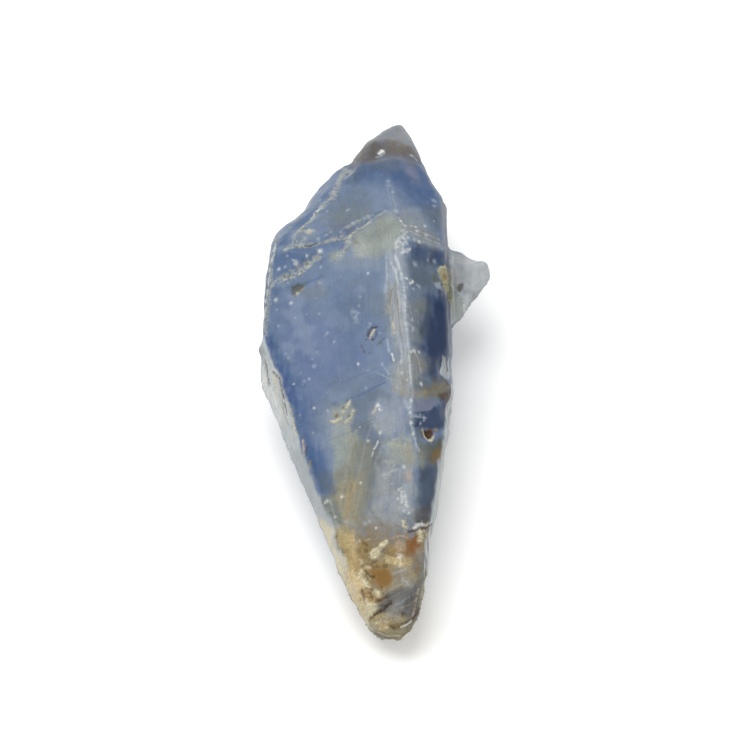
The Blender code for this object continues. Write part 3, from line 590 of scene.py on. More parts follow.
        ("dots", "chalk", (320, 251, 0.1), (307, 256, 0.06), (296, 263, 0.11), (279, 269, 0.07),
            (276, 300, 0.09), (291, 303, 0.07), (293, 260, 0.05)),
        ("dots", "haze", (287, 256, 0.06), (285, 267, 0.06), (288, 283, 0.06), (277, 310, 0.05),
            (307, 314, 0.05), (319, 314, 0.05), (295, 318, 0.05), (278, 326, 0.05), (316, 298, 0.03),
            (271, 304, 0.03)),
        ("dots", "rose", (320, 283, 0.07)),
        ("dots", "haze", (327, 333, 0.06), (325, 336, 0.04), (334, 342, 0.05), (317, 352, 0.04),
            (286, 354, 0.05), (288, 358, 0.05), (312, 359, 0.05), (314, 366, 0.08), (304, 381, 0.06),
            (301, 373, 0.03), (323, 397, 0.04), (290, 345, 0.03)),
        ("dots", "chalk", (309, 379, 0.05), (294, 384, 0.05), (368, 273, 0.06), (358, 364, 0.06),
            (314, 408, 0.05), (368, 441, 0.06)),
        ("dots", "haze", (368, 371, 0.05), (366, 388, 0.05), (341, 276, 0.03), (360, 297, 0.05),
            (360, 301, 0.03), (359, 306, 0.05), (313, 433, 0.05), (300, 415, 0.03), (328, 411, 0.06),
            (395, 431, 0.05), (321, 267, 0.05), (303, 384, 0.03)),
        ("dots", "chalk", (327, 501, 0.08), (325, 503, 0.05), (342, 497, 0.06), (335, 517, 0.06),
            (361, 483, 0.05), (376, 528, 0.06)),
        ("dots", "haze", (365, 524, 0.1), (347, 522, 0.09), (369, 522, 0.07)),
        ("seam", "haze", 0.3, 0.4, (353, 312), (358, 316), (356, 321)),
        ("seam", "haze", 0.15, 0.5, (354, 318), (359, 314)),
    ),
    "lines across the back": (
        ("line", "deep", 0.09, 0.6, (338, 407), (352, 398), (364, 393), (375, 387), (386, 382)),
        ("line", "deep", 0.07, 0.35, (340, 384), (350, 379), (362, 374), (378, 368)),
        ("line", "soot", 0.06, 0.35, (329, 385), (338, 381)),
        ("line", "slate", 0.07, 0.3, (330, 440), (345, 434), (360, 428)),
        ("line", "olive", 0.06, 0.3, (342, 492), (338, 488), (334, 494)),
        ("line", "haze", 0.07, 0.35, (376, 372), (384, 376), (392, 380)),
    ),
    "streaks on the lower back": (
        ("seam", "fog", 0.1, 0.5, (372, 424), (366, 440), (362, 458), (358, 478)),
        ("seam", "moss", 0.12, 0.5, (366, 424), (360, 444), (356, 466), (350, 492)),
        ("seam", "sage", 0.12, 0.5, (356, 430), (350, 452), (346, 474), (340, 500)),
        ("seam", "slate", 0.1, 0.45, (378, 438), (374, 458), (370, 480), (366, 502)),
        ("seam", "moss", 0.1, 0.5, (350, 470), (346, 488), (342, 508), (340, 524)),
        ("seam", "khaki", 0.12, 0.5, (362, 486), (358, 502), (354, 520)),
        ("seam", "bronze", 0.15, 0.35, (352, 484), (350, 500), (347, 520)),
        ("seam", "ash", 0.1, 0.4, (330, 500), (334, 516), (340, 532)),
        ("seam", "fog", 0.1, 0.5, (388, 472), (384, 490), (382, 508)),
        ("seam", "lilac", 0.12, 0.5, (396, 470), (394, 488), (396, 508)),
        ("seam", "slate", 0.08, 0.4, (392, 474), (390, 492), (388, 510)),
        ("seam", "haze", 0.08, 0.4, (400, 470), (399, 484)),
        ("seam", "slate", 0.1, 0.4, (414, 470), (414, 490), (412, 508)),
        ("seam", "fog", 0.12, 0.4, (370, 514), (384, 518), (398, 516)),
        ("seam", "drab", 0.12, 0.5, (374, 524), (388, 528), (400, 526)),
        ("seam", "moss", 0.1, 0.4, (360, 508), (364, 518), (372, 526)),
    ),
    "left pit": (
        ("patch", "sage", 0.15, 0.6, (332, 408), (345, 402), (356, 410), (352, 424), (336, 424)),
        ("dots", "khaki", (336, 415, 0.14)),
        ("dots", "umber", (336, 416, 0.09)),
        ("seam", "cream", 0.12, 0.85, (331, 421), (336, 422), (341, 418)),
        ("seam", "cream", 0.15, 0.8, (350, 401), (347, 407), (343, 412)),
        ("seam", "cream", 0.12, 0.7, (353, 411), (350, 418), (345, 423)),
        ("dots", "olive", (343, 408, 0.07), (349, 416, 0.07)),
    ),
    "lower crest": (
        ("seam", "chalk", 0.2, 0.8, (377, 405), (380, 409)),
        ("seam", "cream", 0.15, 0.6, (376, 409), (373, 413)),
        ("dots", "chalk", (380, 433, 0.06), (404, 467, 0.07)),
        ("seam", "ash", 0.25, 0.5, (370, 420), (374, 424), (380, 430)),
        ("line", "chalk", 0.08, 0.7, (378, 441), (376, 446), (374, 449)),
        ("line", "chalk", 0.07, 0.6, (373, 452), (372, 456)),
        ("seam", "haze", 0.12, 0.6, (381, 476), (390, 472), (398, 469)),
        ("seam", "chalk", 0.1, 0.7, (402, 488), (401, 495), (403, 502)),
        ("seam", "chalk", 0.1, 0.7, (405, 492), (406, 500), (408, 508)),
        ("dots", "chalk", (399, 490, 0.06), (403, 497, 0.08), (401, 503, 0.06), (406, 505, 0.07),
            (404, 511, 0.06), (409, 513, 0.06), (398, 499, 0.05)),
        ("seam", "haze", 0.3, 0.5, (406, 486), (404, 498), (407, 510), (400, 508)),
        ("seam", "haze", 0.1, 0.5, (392, 440), (404, 438), (410, 440)),
        ("seam", "ash", 0.3, 0.5, (386, 446), (394, 444), (404, 446)),
        ("seam", "ash", 0.25, 0.5, (386, 462), (394, 466), (390, 474)),
        ("seam", "fog", 0.15, 0.6, (376, 462), (380, 452), (384, 442)),
        ("dots", "haze", (386, 478, 0.06), (391, 484, 0.05), (396, 492, 0.06), (388, 499, 0.05),
            (380, 505, 0.06)),
    ),
    "smooth chip": (
        ("patch", "mauve", 0.04, 0.9, (412, 403), (425, 400), (438, 400), (434, 406), (428, 411),
            (414, 411)),
        ("patch", "haze", 0.06, 0.5, (403, 400), (411, 402), (410, 412), (405, 408)),
        ("line", "navy", 0.07, 0.7, (413, 412), (420, 413), (430, 411)),
        ("seam", "haze", 0.1, 0.7, (412, 416), (419, 417), (426, 418)),
        ("seam", "haze", 0.1, 0.6, (418, 428), (421, 422), (424, 420)),
        ("dots", "haze", (424, 417, 0.07), (420, 415, 0.06)),
    ),
    "right pit": (
        ("dots", "tan", (422, 431, 0.1), (436, 430, 0.1)),
        ("patch", "umber", 0.04, 1.0, (424, 431), (430, 430), (434, 433), (431, 438), (427, 439),
            (424, 436)),
        ("patch", "soot", 0.05, 0.7, (426, 432), (430, 431), (433, 434), (430, 437), (427, 437)),
        ("seam", "cream", 0.11, 1.0, (422, 430), (424, 436), (427, 440), (431, 441), (434, 436)),
        ("seam", "ochre", 0.1, 0.8, (424, 430), (430, 430), (435, 432)),
    ),
    "chipped right edge": (
        ("patch", "milk", 0.06, 1.0, (443, 356), (446, 358), (448, 366), (448, 374), (449, 380), (445, 379),
            (440, 374), (442, 362)),
        ("line", "olive", 0.12, 0.95, (446, 359), (447, 367), (448, 374)),
        ("line", "chalk", 0.07, 0.7, (448, 372), (449, 379)),
        ("line", "chalk", 0.06, 0.6, (443, 357), (442, 366), (440, 373)),
        ("line", "soot", 0.1, 0.6, (440, 376), (445, 380), (448, 385)),
    ),
    "stained wedge": (
        ("line", "khaki", 0.8, 0.75, (446, 272), (447, 280), (447, 287)),
        ("patch", "resin", 0.04, 1.0, (438, 268), (444, 266), (446, 272), (446, 284), (446, 294),
            (443, 288), (441, 282), (438, 274)),
        ("patch", "resin", 0.1, 1.0, (448, 282), (451, 284), (453, 290), (453, 300), (450, 306),
            (448, 300)),
        ("line", "resin", 0.3, 1.0, (443, 270), (444, 277)),
        ("line", "resin", 0.15, 1.0, (445, 284), (446, 290)),
        ("patch", "khaki", 0.1, 0.7, (440, 268), (444, 267), (445, 274), (445, 283), (441, 278)),
        ("patch", "olive", 0.15, 0.35, (448, 284), (452, 286), (452, 298), (449, 302)),
        ("line", "moss", 0.12, 0.7, (449, 286), (450, 294), (450, 300)),
        ("dots", "taupe", (443, 277, 0.13)),
        ("dots", "rust", (442, 277, 0.08)),
        ("seam", "cream", 0.08, 0.8, (441, 283), (443, 288), (445, 293), (446, 297)),
        ("seam", "cream", 0.08, 0.8, (448, 300), (450, 305)),
        ("seam", "cream", 0.11, 0.85, (438, 271), (441, 267), (444, 266), (445, 270)),
        ("seam", "cream", 0.08, 0.8, (445, 279), (444, 282), (442, 283)),
        ("patch", "olive", 0.1, 0.75, (431, 278), (436, 271), (440, 282), (434, 283)),
        ("patch", "milk", 0.04, 0.7, (434, 283), (440, 282), (442, 290), (436, 287)),
    ),
    "fin marks": (
        ("patch", "sage", 0.15, 0.55, (450, 286), (456, 292), (464, 300), (464, 310), (457, 318),
            (452, 316), (451, 300)),
        ("line", "haze", 0.07, 0.8, (450, 284), (456, 292), (462, 298), (464, 305), (463, 312)),
        # painted reflection: the pale line along the fin's edge
        ("line", "pale", 0.08, 0.9, (453, 256), (452, 270), (453, 290), (454, 310), (455, 320)),
        ("patch", "soot", 0.05, 0.7, (456, 288), (459, 284), (463, 283), (463, 287), (460, 293)),
        # painted highlight: the small white glint on the fin's lower facet
        ("seam", "chalk", 0.1, 0.9, (463, 301), (464, 306), (464, 311)),
        ("line", "haze", 0.06, 0.5, (456, 318), (462, 316), (466, 310)),
        ("line", "cap_grey", 0.08, 0.5, (456, 260), (470, 264), (484, 262)),
    ),
    # The glint and haze seams here are painted highlights: the light's reflection in small facets of the
    # pointed end. The taupe line is a stain.
    "cap glints": (
        ("seam", "glint", 0.23, 0.95, (382, 151), (380, 154)),
        ("seam", "haze", 0.15, 0.8, (381, 156), (377, 157)),
        ("seam", "haze", 0.15, 0.8, (411, 155), (414, 158), (416, 160)),
        ("line", "taupe", 0.07, 0.5, (386, 140), (394, 141), (401, 144), (408, 146)),
    ),
    "left strip": (
        ("seam", "soot", 0.2, 0.7, (265, 361), (267, 369), (268, 377), (269, 385)),
        ("seam", "umber", 0.15, 0.8, (273, 372), (279, 378), (281, 388), (283, 396), (285, 405),
            (287, 414)),
        ("seam", "cream", 0.2, 0.8, (274, 378), (277, 386), (277, 396)),
        ("seam", "chalk", 0.15, 0.7, (270, 386), (273, 396), (276, 405)),
        ("seam", "cream", 0.15, 0.8, (289, 404), (292, 415), (294, 425), (297, 435)),
        ("seam", "rose", 0.15, 0.9, (303, 441), (304, 449), (304, 454)),
        # painted shadow beside the rose tuft
        ("seam", "umber", 0.08, 0.6, (306, 447), (307, 455)),
        ("seam", "tan", 0.15, 0.8, (310, 461), (310, 469)),
        # painted shadow beside the tan tuft
        ("seam", "umber", 0.07, 0.6, (313, 468), (314, 474)),
        ("seam", "taupe", 0.15, 0.5, (282, 400), (284, 412), (288, 424)),
        ("seam", "milk", 0.15, 0.6, (263, 345), (266, 355), (272, 366)),
        ("line", "soot", 0.08, 0.6, (260, 343), (258, 350), (259, 357), (261, 361)),
    ),
    "tip crust": (
        ("seam", "bronze", 0.25, 0.5, (344, 548), (352, 560), (358, 572)),
        ("seam", "drab", 0.15, 0.6, (362, 536), (372, 540), (384, 541)),
        ("seam", "bronze", 0.15, 0.6, (374, 545), (384, 541), (394, 540)),
        ("seam", "taupe", 0.15, 0.6, (356, 548), (362, 556), (370, 561), (380, 559)),
        ("seam", "cream", 0.08, 0.5, (357, 543), (364, 541), (370, 539)),
        ("seam", "drab", 0.2, 0.6, (352, 512), (356, 520), (364, 528)),
        ("seam", "khaki", 0.2, 0.6, (340, 505), (344, 516), (348, 526)),
        ("seam", "flint", 0.15, 0.5, (368, 505), (374, 516), (384, 526)),
        ("seam", "cream", 0.2, 1.0, (373, 556), (377, 551), (381, 547), (386, 542)),
        ("patch", "cream", 0.08, 1.0, (370, 553), (373, 549), (378, 548), (381, 544), (388, 540),
            (386, 546), (381, 549), (380, 554), (376, 559), (371, 559)),
        ("seam", "khaki", 0.07, 0.5, (371, 556), (376, 552), (380, 548)),
        ("seam", "cream", 0.12, 0.7, (360, 560), (366, 566), (370, 568)),
        ("dots", "crumb", (363, 573, 0.14), (365, 584, 0.19), (368, 588, 0.12), (357, 579, 0.1),
            (361, 565, 0.07)),
        ("dots", "crumb", (378, 594, 0.17), (362, 603, 0.12), (367, 604, 0.12), (373, 604, 0.1),
            (352, 586, 0.09), (388, 562, 0.09), (396, 563, 0.1)),
        ("dots", "cream", (378, 593, 0.09), (362, 606, 0.08)),
        ("seam", "cream", 0.12, 0.8, (361, 607), (368, 608), (376, 605)),
        ("dots", "taupe", (362, 592, 0.11), (370, 597, 0.07), (372, 590, 0.07), (361, 599, 0.06)),
        ("dots", "umber", (379, 600, 0.1)),
        ("seam", "umber", 0.15, 0.75, (387, 597), (381, 600), (376, 601)),
        ("seam", "umber", 0.1, 0.7, (365, 570), (366, 577), (369, 583)),
        ("line", "umber", 0.09, 0.8, (365, 571), (370, 576), (374, 577)),
        ("seam", "bronze", 0.12, 0.6, (366, 594), (370, 600), (374, 602)),
        ("seam", "umber", 0.2, 0.95, (391, 603), (385, 607), (380, 612), (375, 614), (370, 620)),
        ("line", "soot", 0.08, 0.7, (391, 603), (384, 609), (377, 614), (371, 619)),
        ("seam", "gold", 0.12, 0.8, (370, 621), (375, 617), (380, 614)),
        ("seam", "cream", 0.12, 0.5, (374, 624), (382, 622), (388, 622)),
        ("seam", "cream", 0.25, 0.8, (403, 519), (403, 523), (406, 529)),
        ("seam", "chalk", 0.2, 0.8, (415, 528), (419, 525), (423, 524)),
        ("seam", "cream", 0.15, 0.9, (424, 527), (429, 523)),
        ("line", "umber", 0.12, 0.85, (408, 532), (414, 531), (420, 529), (426, 528), (432, 524)),
        ("seam", "taupe", 0.2, 0.7, (420, 536), (427, 534), (429, 545)),
        ("seam", "cream", 0.25, 1.0, (420, 531), (421, 536), (420, 541)),
        ("seam", "cream", 0.15, 0.8, (424, 531), (426, 535)),
        ("dots", "chalk", (400, 557, 0.11)),
        ("seam", "cream", 0.12, 0.8, (400, 559), (401, 563), (400, 567)),
        ("seam", "rose", 0.25, 0.5, (396, 547), (400, 542), (403, 549)),
        ("seam", "rose", 0.15, 0.6, (400, 550), (396, 554), (404, 556)),
        ("seam", "rose", 0.1, 0.6, (392, 538), (400, 536), (408, 538)),
        ("seam", "umber", 0.12, 0.6, (384, 551), (390, 555), (397, 556)),
        ("seam", "umber", 0.15, 0.6, (362, 541), (367, 546), (366, 551)),
        ("seam", "umber", 0.15, 0.5, (361, 566), (368, 564), (376, 562)),
        ("seam", "rust", 0.15, 0.6, (414, 560), (419, 566), (416, 574)),
        ("seam", "tan", 0.15, 0.6, (408, 570), (414, 573), (416, 582)),
        ("seam", "haze", 0.15, 0.6, (403, 579), (406, 583), (412, 586)),
        ("seam", "haze", 0.1, 0.5, (392, 574), (400, 571), (406, 570)),
        ("dots", "umber", (394, 628, 0.09), (391, 626, 0.07), (399, 627, 0.06)),
        ("dots", "cream", (387, 627, 0.08), (380, 628, 0.07)),
        ("line", "chalk", 0.08, 0.9, (401, 627), (406, 625), (411, 621)),
        ("line", "soot", 0.1, 0.7, (402, 624), (407, 622), (412, 618)),
        ("line", "soot", 0.15, 0.8, (421, 594), (420, 604), (417, 613), (413, 619)),
        ("seam", "olive", 0.15, 0.7, (417, 600), (415, 610), (412, 616)),
        ("seam", "rose", 0.12, 0.8, (418, 590), (416, 600), (414, 612), (412, 617)),
        ("dots", "soot", (403, 614, 0.09)),
        ("seam", "haze", 0.08, 0.3, (390, 598), (402, 591), (412, 586)),
        ("seam", "haze", 0.07, 0.3, (394, 606), (406, 599), (413, 595)),
        ("seam", "haze", 0.07, 0.3, (388, 592), (398, 586), (408, 581)),
        ("seam", "tan", 0.07, 0.5, (396, 611), (406, 606), (414, 602)),
        ("seam", "soot", 0.1, 0.4, (386, 598), (398, 592), (412, 586)),
        ("seam", "soot", 0.15, 0.5, (374, 633), (386, 638), (400, 637), (410, 631)),
        ("seam", "soot", 0.12, 0.5, (370, 626), (376, 630), (384, 633)),
        ("seam", "cream", 0.1, 0.6, (378, 632), (388, 636), (400, 636)),
        ("seam", "gold", 0.1, 0.6, (402, 637), (408, 633), (413, 628)),
        ("seam", "umber", 0.15, 0.5, (372, 566), (380, 567), (388, 566)),
        ("seam", "peach", 0.15, 0.6, (354, 584), (357, 594), (361, 602)),
        ("seam", "cream", 0.2, 1.0, (361, 571), (360, 578)),
        ("seam", "cream", 0.25, 1.0, (364, 582), (367, 588)),
        ("seam", "cream", 0.2, 1.0, (376, 591), (379, 596)),
        # painted shadows: the umber seams beside the cream crumbs
        ("seam", "umber", 0.12, 0.8, (366, 589), (370, 593), (372, 598)),
        ("seam", "umber", 0.1, 0.7, (362, 590), (364, 598), (366, 604)),
        ("seam", "umber", 0.1, 0.6, (381, 590), (383, 596)),
        ("seam", "cream", 0.15, 0.9, (366, 600), (369, 606)),
        ("seam", "cream", 0.15, 0.4, (353, 572), (355, 580)),
    ),
}

# What each coat adds to the surface: height in mm, and how crusty it is.
COATS = {
    "chalk": (0.030, 0.50),
    "cream": (0.045, 1.00),
    "ash": (0.030, 0.75),
    "tan": (0.025, 0.85),
    "rose": (0.030, 0.70),
    "peach": (0.015, 0.65),
    "khaki": (0.010, 0.35),
    "gold": (0.010, 0.40),
    "resin": (0.080, 0.40),
    "crumb": (0.110, 0.90),
    "drab": (0.000, 0.35),
    "bronze": (0.005, 0.50),
    "sage": (0.005, 0.20),
    "haze": (0.010, 0.25),
    "fog": (0.000, 0.10),
    "flint": (0.000, 0.35),
    "taupe": (-0.010, 0.60),
    "rust": (0.000, 0.40),
    "ochre": (0.000, 0.40),
    "umber": (-0.050, 0.45),
    "soot": (-0.035, 0.25),
    "olive": (-0.030, 0.35),
    "deep": (-0.015, 0.00),
}
NO_COAT = (0.0, 0.0)

# How soft the border of each kind of mark is, as a share of its width, and the strength of a dot.
SOFTNESS = {"line": 0.45, "seam": 0.45, "dot": 0.60, "wear": 0.50}
LEAST_SOFT = 0.030
DOT_STRENGTH = 0.70

# Whitish scuffs and bruise specks of the crystal, and the card of the floor.
SCUFF = "#AAAFB5"
SPECK = "#C4C8CB"
CARD = "#F7F7F6"

# The soft light overhead: its size and place in mm.
KEY_SIZE = 240.0
KEY_PLACE = (-70.0, 30.0, 290.0)
NEAREST_SEEN = 0.01


def linear(hex_code):
    """An sRGB hex colour as linear values."""
    channels = (int(hex_code[i:i + 2], 16) / 255.0 for i in (1, 3, 5))
    return tuple(c / 12.92 if c <= 0.04045 else ((c + 0.055) / 1.055) ** 2.4 for c in channels)


def palette_colour(title, hex_code, description):
    """A colour for the panel, given as the sRGB value that the stone shows there."""
    return FloatVectorProperty(
        name=title, description=description, subtype="COLOR", size=3, min=0.0, max=1.0,
        default=linear(hex_code),
    )


class SapphireColours(bpy.types.PropertyGroup):
    """Colours of the crystal and of what coats it, as they look in the studio."""

    blue: palette_colour("Blue", "#75869F", "Body of the crystal")
    deep: palette_colour("Deep blue", "#546A8E", "Clear deep zones and the shade below edges")
    sky: palette_colour("Light blue", "#8593AA", "Milky light zones of the back")
    steel: palette_colour("Steel blue", "#758294", "Greyer zones of the back")
    violet: palette_colour("Violet blue", "#64749A", "Violet zones of the hidden sides")
    indigo: palette_colour("Indigo", "#4A5C8C", "Deepest blue, along the left edge")
    mauve: palette_colour("Mauve", "#7E8498", "Worn chips that show a violet cast")
    # Navy is partly clear deep blue and partly painted shade of the faces right of the ridge.
    navy: palette_colour("Navy", "#394962", "Clear faces right of the ridge")
    slate: palette_colour("Slate", "#656F7B", "Dull dark zones right of the ridge")
    haze: palette_colour("Haze", "#AEB8C4", "Thin whitish wear")
    milk: palette_colour("Milk", "#A2A9AE", "Milky zones low on the back")
    lilac: palette_colour("Lilac", "#989FAB", "Milky zones with a violet cast")
    fog: palette_colour("Fog", "#979C9E", "Grey milky zones")
    flint: palette_colour("Flint", "#76746F", "Dull grey near the blunt tip")
    sage: palette_colour("Sage", "#A0A79C", "Thin yellow stain over blue")
    moss: palette_colour("Moss", "#80837A", "Thin brown stain over blue")
    # Olive also paints the shade inside the notch.
    olive: palette_colour("Olive", "#66685C", "Brown stain over navy")
    crumb: palette_colour("Crumb", "#D8C8A0", "Crumbs of light crust on the blunt tip")
    resin: palette_colour("Resin", "#A2A184", "Stained chunk on the right edge")
    drab: palette_colour("Drab", "#8E8474", "Grey-brown crust")
    bronze: palette_colour("Bronze", "#9C8458", "Brown stain in clay")
    khaki: palette_colour("Khaki", "#A39B80", "Clay coat")
    gold: palette_colour("Gold", "#B6A478", "Iron stain in thin clay")
    ochre: palette_colour("Ochre", "#855E2F", "Strong iron stain")
    rust: palette_colour("Rust", "#8F7046", "Iron stain")
    # Umber also paints the shadows beside crumbs and tufts of crust.
    umber: palette_colour("Umber", "#5E4B33", "Earth in cracks and pits")
    soot: palette_colour("Soot", "#5A534B", "Dark dirt along cracks")
    taupe: palette_colour("Taupe", "#857555", "Brown crust")
    tan: palette_colour("Tan", "#A69A7A", "Clay crust")
    peach: palette_colour("Peach", "#CDB68E", "Warm light crust")
    ash: palette_colour("Ash", "#AFB4B0", "Granular filling of the healed fissures")
    cream: palette_colour("Cream", "#D8CFB2", "Light crust along the fissures")
    rose: palette_colour("Rose", "#C2AFA0", "Pinkish crust")
    chalk: palette_colour("Chalk", "#E8EAE6", "White bruises and specks")
    # Pale, warm pale, frost and fin are partly frosted skin and partly painted reflection of the pale floor,
    # as grazing faces and the fin show it.
    pale: palette_colour("Pale", "#BEC4C4", "Frosted side faces")
    warm_pale: palette_colour("Warm pale", "#D9D0B2", "Frosted side faces near the blunt tip")
    frost: palette_colour("Frost", "#D4D8DA", "Brightest frosted faces")
    fin: palette_colour("Fin", "#A8AEB2", "Frosted fin")
    cap_grey: palette_colour("Cap grey", "#8F9295", "Top of the pointed end")
    cap_brown: palette_colour("Cap brown", "#6E6B69", "Stained band round the pointed end")
    # Glint is a painted highlight on the pointed end.
    glint: palette_colour("Glint", "#FFFFFF", "Small bright bruise on the pointed end")


class SapphireSkin(bpy.types.PropertyGroup):
    """Sizes of the crystal's fine skin, in millimetres."""

    cell: FloatProperty(name="Cell", description="Side of the skin's cells, mm", default=0.125, min=0.08)
    wear_passes: IntProperty(name="Wear", description="Smoothing passes over the cells", default=3, min=0)
    fine_margin: FloatProperty(
        name="Fine margin", description="How far round a mark the cells are halved, mm", default=0.09,
        min=0.0,
    )
    veil: FloatProperty(
        name="Veil", description="Light that the satin surface adds to every colour", default=0.040, min=0.0
    )
    light: FloatProperty(
        name="Light", description="How brightly the studio lights a white surface", default=1.27, min=0.1
    )
    roughness: FloatProperty(
        name="Roughness", description="Of the bare crystal", default=0.42, min=0.0, max=1.0, subtype="FACTOR"
    )


class SapphireGrains(bpy.types.PropertyGroup):
    """Sizes and number of the crust's loose grains."""

    density: FloatProperty(
        name="Density", description="Grains on a square millimetre of full crust", default=34.0, min=0.0
    )
    size: FloatProperty(name="Size", description="Mean radius of a grain, mm", default=0.055, min=0.01)
    seed: IntProperty(name="Seed", description="Seed of their places and turns", default=4, min=0)


class SapphireStage(bpy.types.PropertyGroup):
    """Light of the studio."""

    surroundings: FloatProperty(
        name="Surroundings", description="Strength of the white surroundings", default=0.80, min=0.0
    )
    key: FloatProperty(
        name="Key", description="Power of the soft light overhead, W", default=0.55, min=0.0
    )
    floor_side: FloatProperty(
        name="Floor side", description="Side of the pale floor, mm", default=1600.0, min=1.0
    )


def ramp(value, start, end):
    """0 before start and 1 after end, with a smooth rise between them."""
    t = np.clip((value - start) / (end - start), 0.0, 1.0)
    return t * t * (3.0 - 2.0 * t)


def noise_at(points, size, seed):
    """Smooth noise from -1 to 1 whose lumps are about the size given."""
    places = points / size + seed * np.array([7.3, 3.1, 5.7])
    return np.array([noise.noise(p) for p in places.tolist()])


def wander(points, size, amount):
    """The points moved about by smooth noise, so that outlines laid on them look grown."""
    moved = [noise_at(points, size, seed) for seed in STRAY_SEEDS]
    return points + amount * np.stack(moved, axis=1)


def read_vectors(items, attribute):
    """One attribute of many mesh items, as an array of vectors."""
    flat = np.empty(len(items) * 3)
    items.foreach_get(attribute, flat)
    return flat.reshape(-1, 3)


def view_pixels(points):
    """Where the reference view's camera sees the points, in pixels."""
    offset = points - AIM
    scale = PIXELS_PER_RADIAN / (DISTANCE - offset @ BACKWARD)
    across = IMAGE_SIDE / 2 + scale * (offset @ RIGHTWARD)
    down = IMAGE_SIDE / 2 - scale * (offset @ UPWARD)
    return np.stack([across, down], axis=1)


def on_stone(tree, pixel):
    """The point of the stone under a pixel, or the nearest one where the pixel lies just past the rim."""
    across = (pixel[0] - IMAGE_SIDE / 2) / PIXELS_PER_RADIAN
    up = (IMAGE_SIDE / 2 - pixel[1]) / PIXELS_PER_RADIAN
    start = AIM + DISTANCE * BACKWARD
    direction = across * RIGHTWARD + up * UPWARD - BACKWARD
    direction /= np.linalg.norm(direction)
    hit = tree.ray_cast(Vector(start), Vector(direction))[0]
    reach = DISTANCE
    for _ in range(RAY_STEPS if hit is None else 0):
        near = tree.find_nearest(Vector(start + reach * direction))[0]
        reach = float((np.array(near) - start) @ direction)
    return np.array(near if hit is None else hit)


def line_on_stone(tree, pixels):
    """A line drawn in pixels, laid along the stone with a point every few pixels."""
    points = []
    for start, end in zip(pixels[:-1], pixels[1:]):
        count = max(1, round(math.dist(start, end) / LINE_STEP))
        for i in range(count):
            t = i / count
            points.append((start[0] + t * (end[0] - start[0]), start[1] + t * (end[1] - start[1])))
    return np.array([on_stone(tree, p) for p in (*points, pixels[-1])])


def line_distance(points, line):
    """Distance of each point from a line of straight runs."""
    nearest = np.full(len(points), np.inf)
    for start, end in zip(line[:-1], line[1:]):
        run = end - start
        offset = points - start
        t = np.clip(offset @ run / max(run @ run, 1e-9), 0.0, 1.0)
        nearest = np.minimum(nearest, np.linalg.norm(offset - t[:, None] * run, axis=1))
    return nearest


def depth_inside(places, outline):
    """How deep inside an outline each flat place lies, negative outside it."""
    closed = [np.array(p, float) for p in (*outline, outline[0])]
    inside = np.zeros(len(places), bool)
    for start, end in zip(closed[:-1], closed[1:]):
        crosses = (start[1] > places[:, 1]) != (end[1] > places[:, 1])
        slope = (end[0] - start[0]) / (end[1] - start[1]) if end[1] != start[1] else 0.0
        inside ^= crosses & (places[:, 0] < start[0] + slope * (places[:, 1] - start[1]))
    distance = line_distance(places, closed)
    return np.where(inside, distance, -distance)


def box_about(points, corners, margin):
    """Numbers of the points that lie in the box round some corners, with a margin."""
    low = np.min(corners, axis=0) - margin
    high = np.max(corners, axis=0) + margin
    return np.nonzero(np.all((points > low) & (points < high), axis=1))[0]


def place_marks(tree):
    """Every mark as kind, colour, size, strength, spots along it on the stone, and pixels, lowest first."""
    placed = []
    for group in MARKS.values():
        for kind, colour, *rest in group:
            if kind == "dots":
                for across, down, radius in rest:
                    spot = on_stone(tree, (across, down))
                    placed.append(("dot", colour, 2.0 * radius, DOT_STRENGTH, np.array([spot, spot]), None))
            else:
                size, strength, *pixels = rest
                spots = line_on_stone(tree, pixels)
                placed.append((kind, colour, size, strength, spots, np.array(pixels, float)))
    return placed


def mark_cover(mark, points, places, ragged, reach):
    """Which points a mark comes near, and how far inside its border each lies, in mm."""
    kind, _, size, _, spots, pixels = mark
    index = box_about(points, spots, size + reach)
    if kind == "patch":
        return index, depth_inside(places[index], pixels) / PIXELS_PER_MM + PATCH_RAGGED * ragged[index]
    half = 0.5 * size * (1.0 + WIDTH_RAGGED * ragged[index])
    return index, half - line_distance(points[index], spots)


def near_marks(points, facing, placed, margin):
    """Which points lie on a line, seam or dot, or by the border of a patch, and face the view."""
    near = np.zeros(len(points), bool)
    places = view_pixels(points)
    even = np.zeros(len(points))
    for mark in placed:
        if mark[0] == "wear":
            continue
        index, depth = mark_cover(mark, points, places, even, MARK_REACH)
        border = np.abs(depth) if mark[0] == "patch" else -depth
        near[index] |= (border < margin) & (facing[index] > PATCH_START)
    return near


def merged_copy(name):
    """A copy of a CAD node's mesh with its loose triangles joined, scaled to millimetres."""
    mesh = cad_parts[name].data.copy()
    mesh.materials.clear()
    work = bmesh.new()
    work.from_mesh(mesh)
    bmesh.ops.scale(work, vec=(1.0 / MM,) * 3, verts=work.verts)
    bmesh.ops.remove_doubles(work, verts=work.verts, dist=SAME_PLACE)
    work.to_mesh(mesh)
    work.free()
    return mesh


def evaluated_mesh(obj):
    """The object's mesh with its modifiers applied, and the modifiers taken off."""
    graph = bpy.context.evaluated_depsgraph_get()
    mesh = bpy.data.meshes.new_from_object(obj.evaluated_get(graph))
    obj.modifiers.clear()
    return mesh


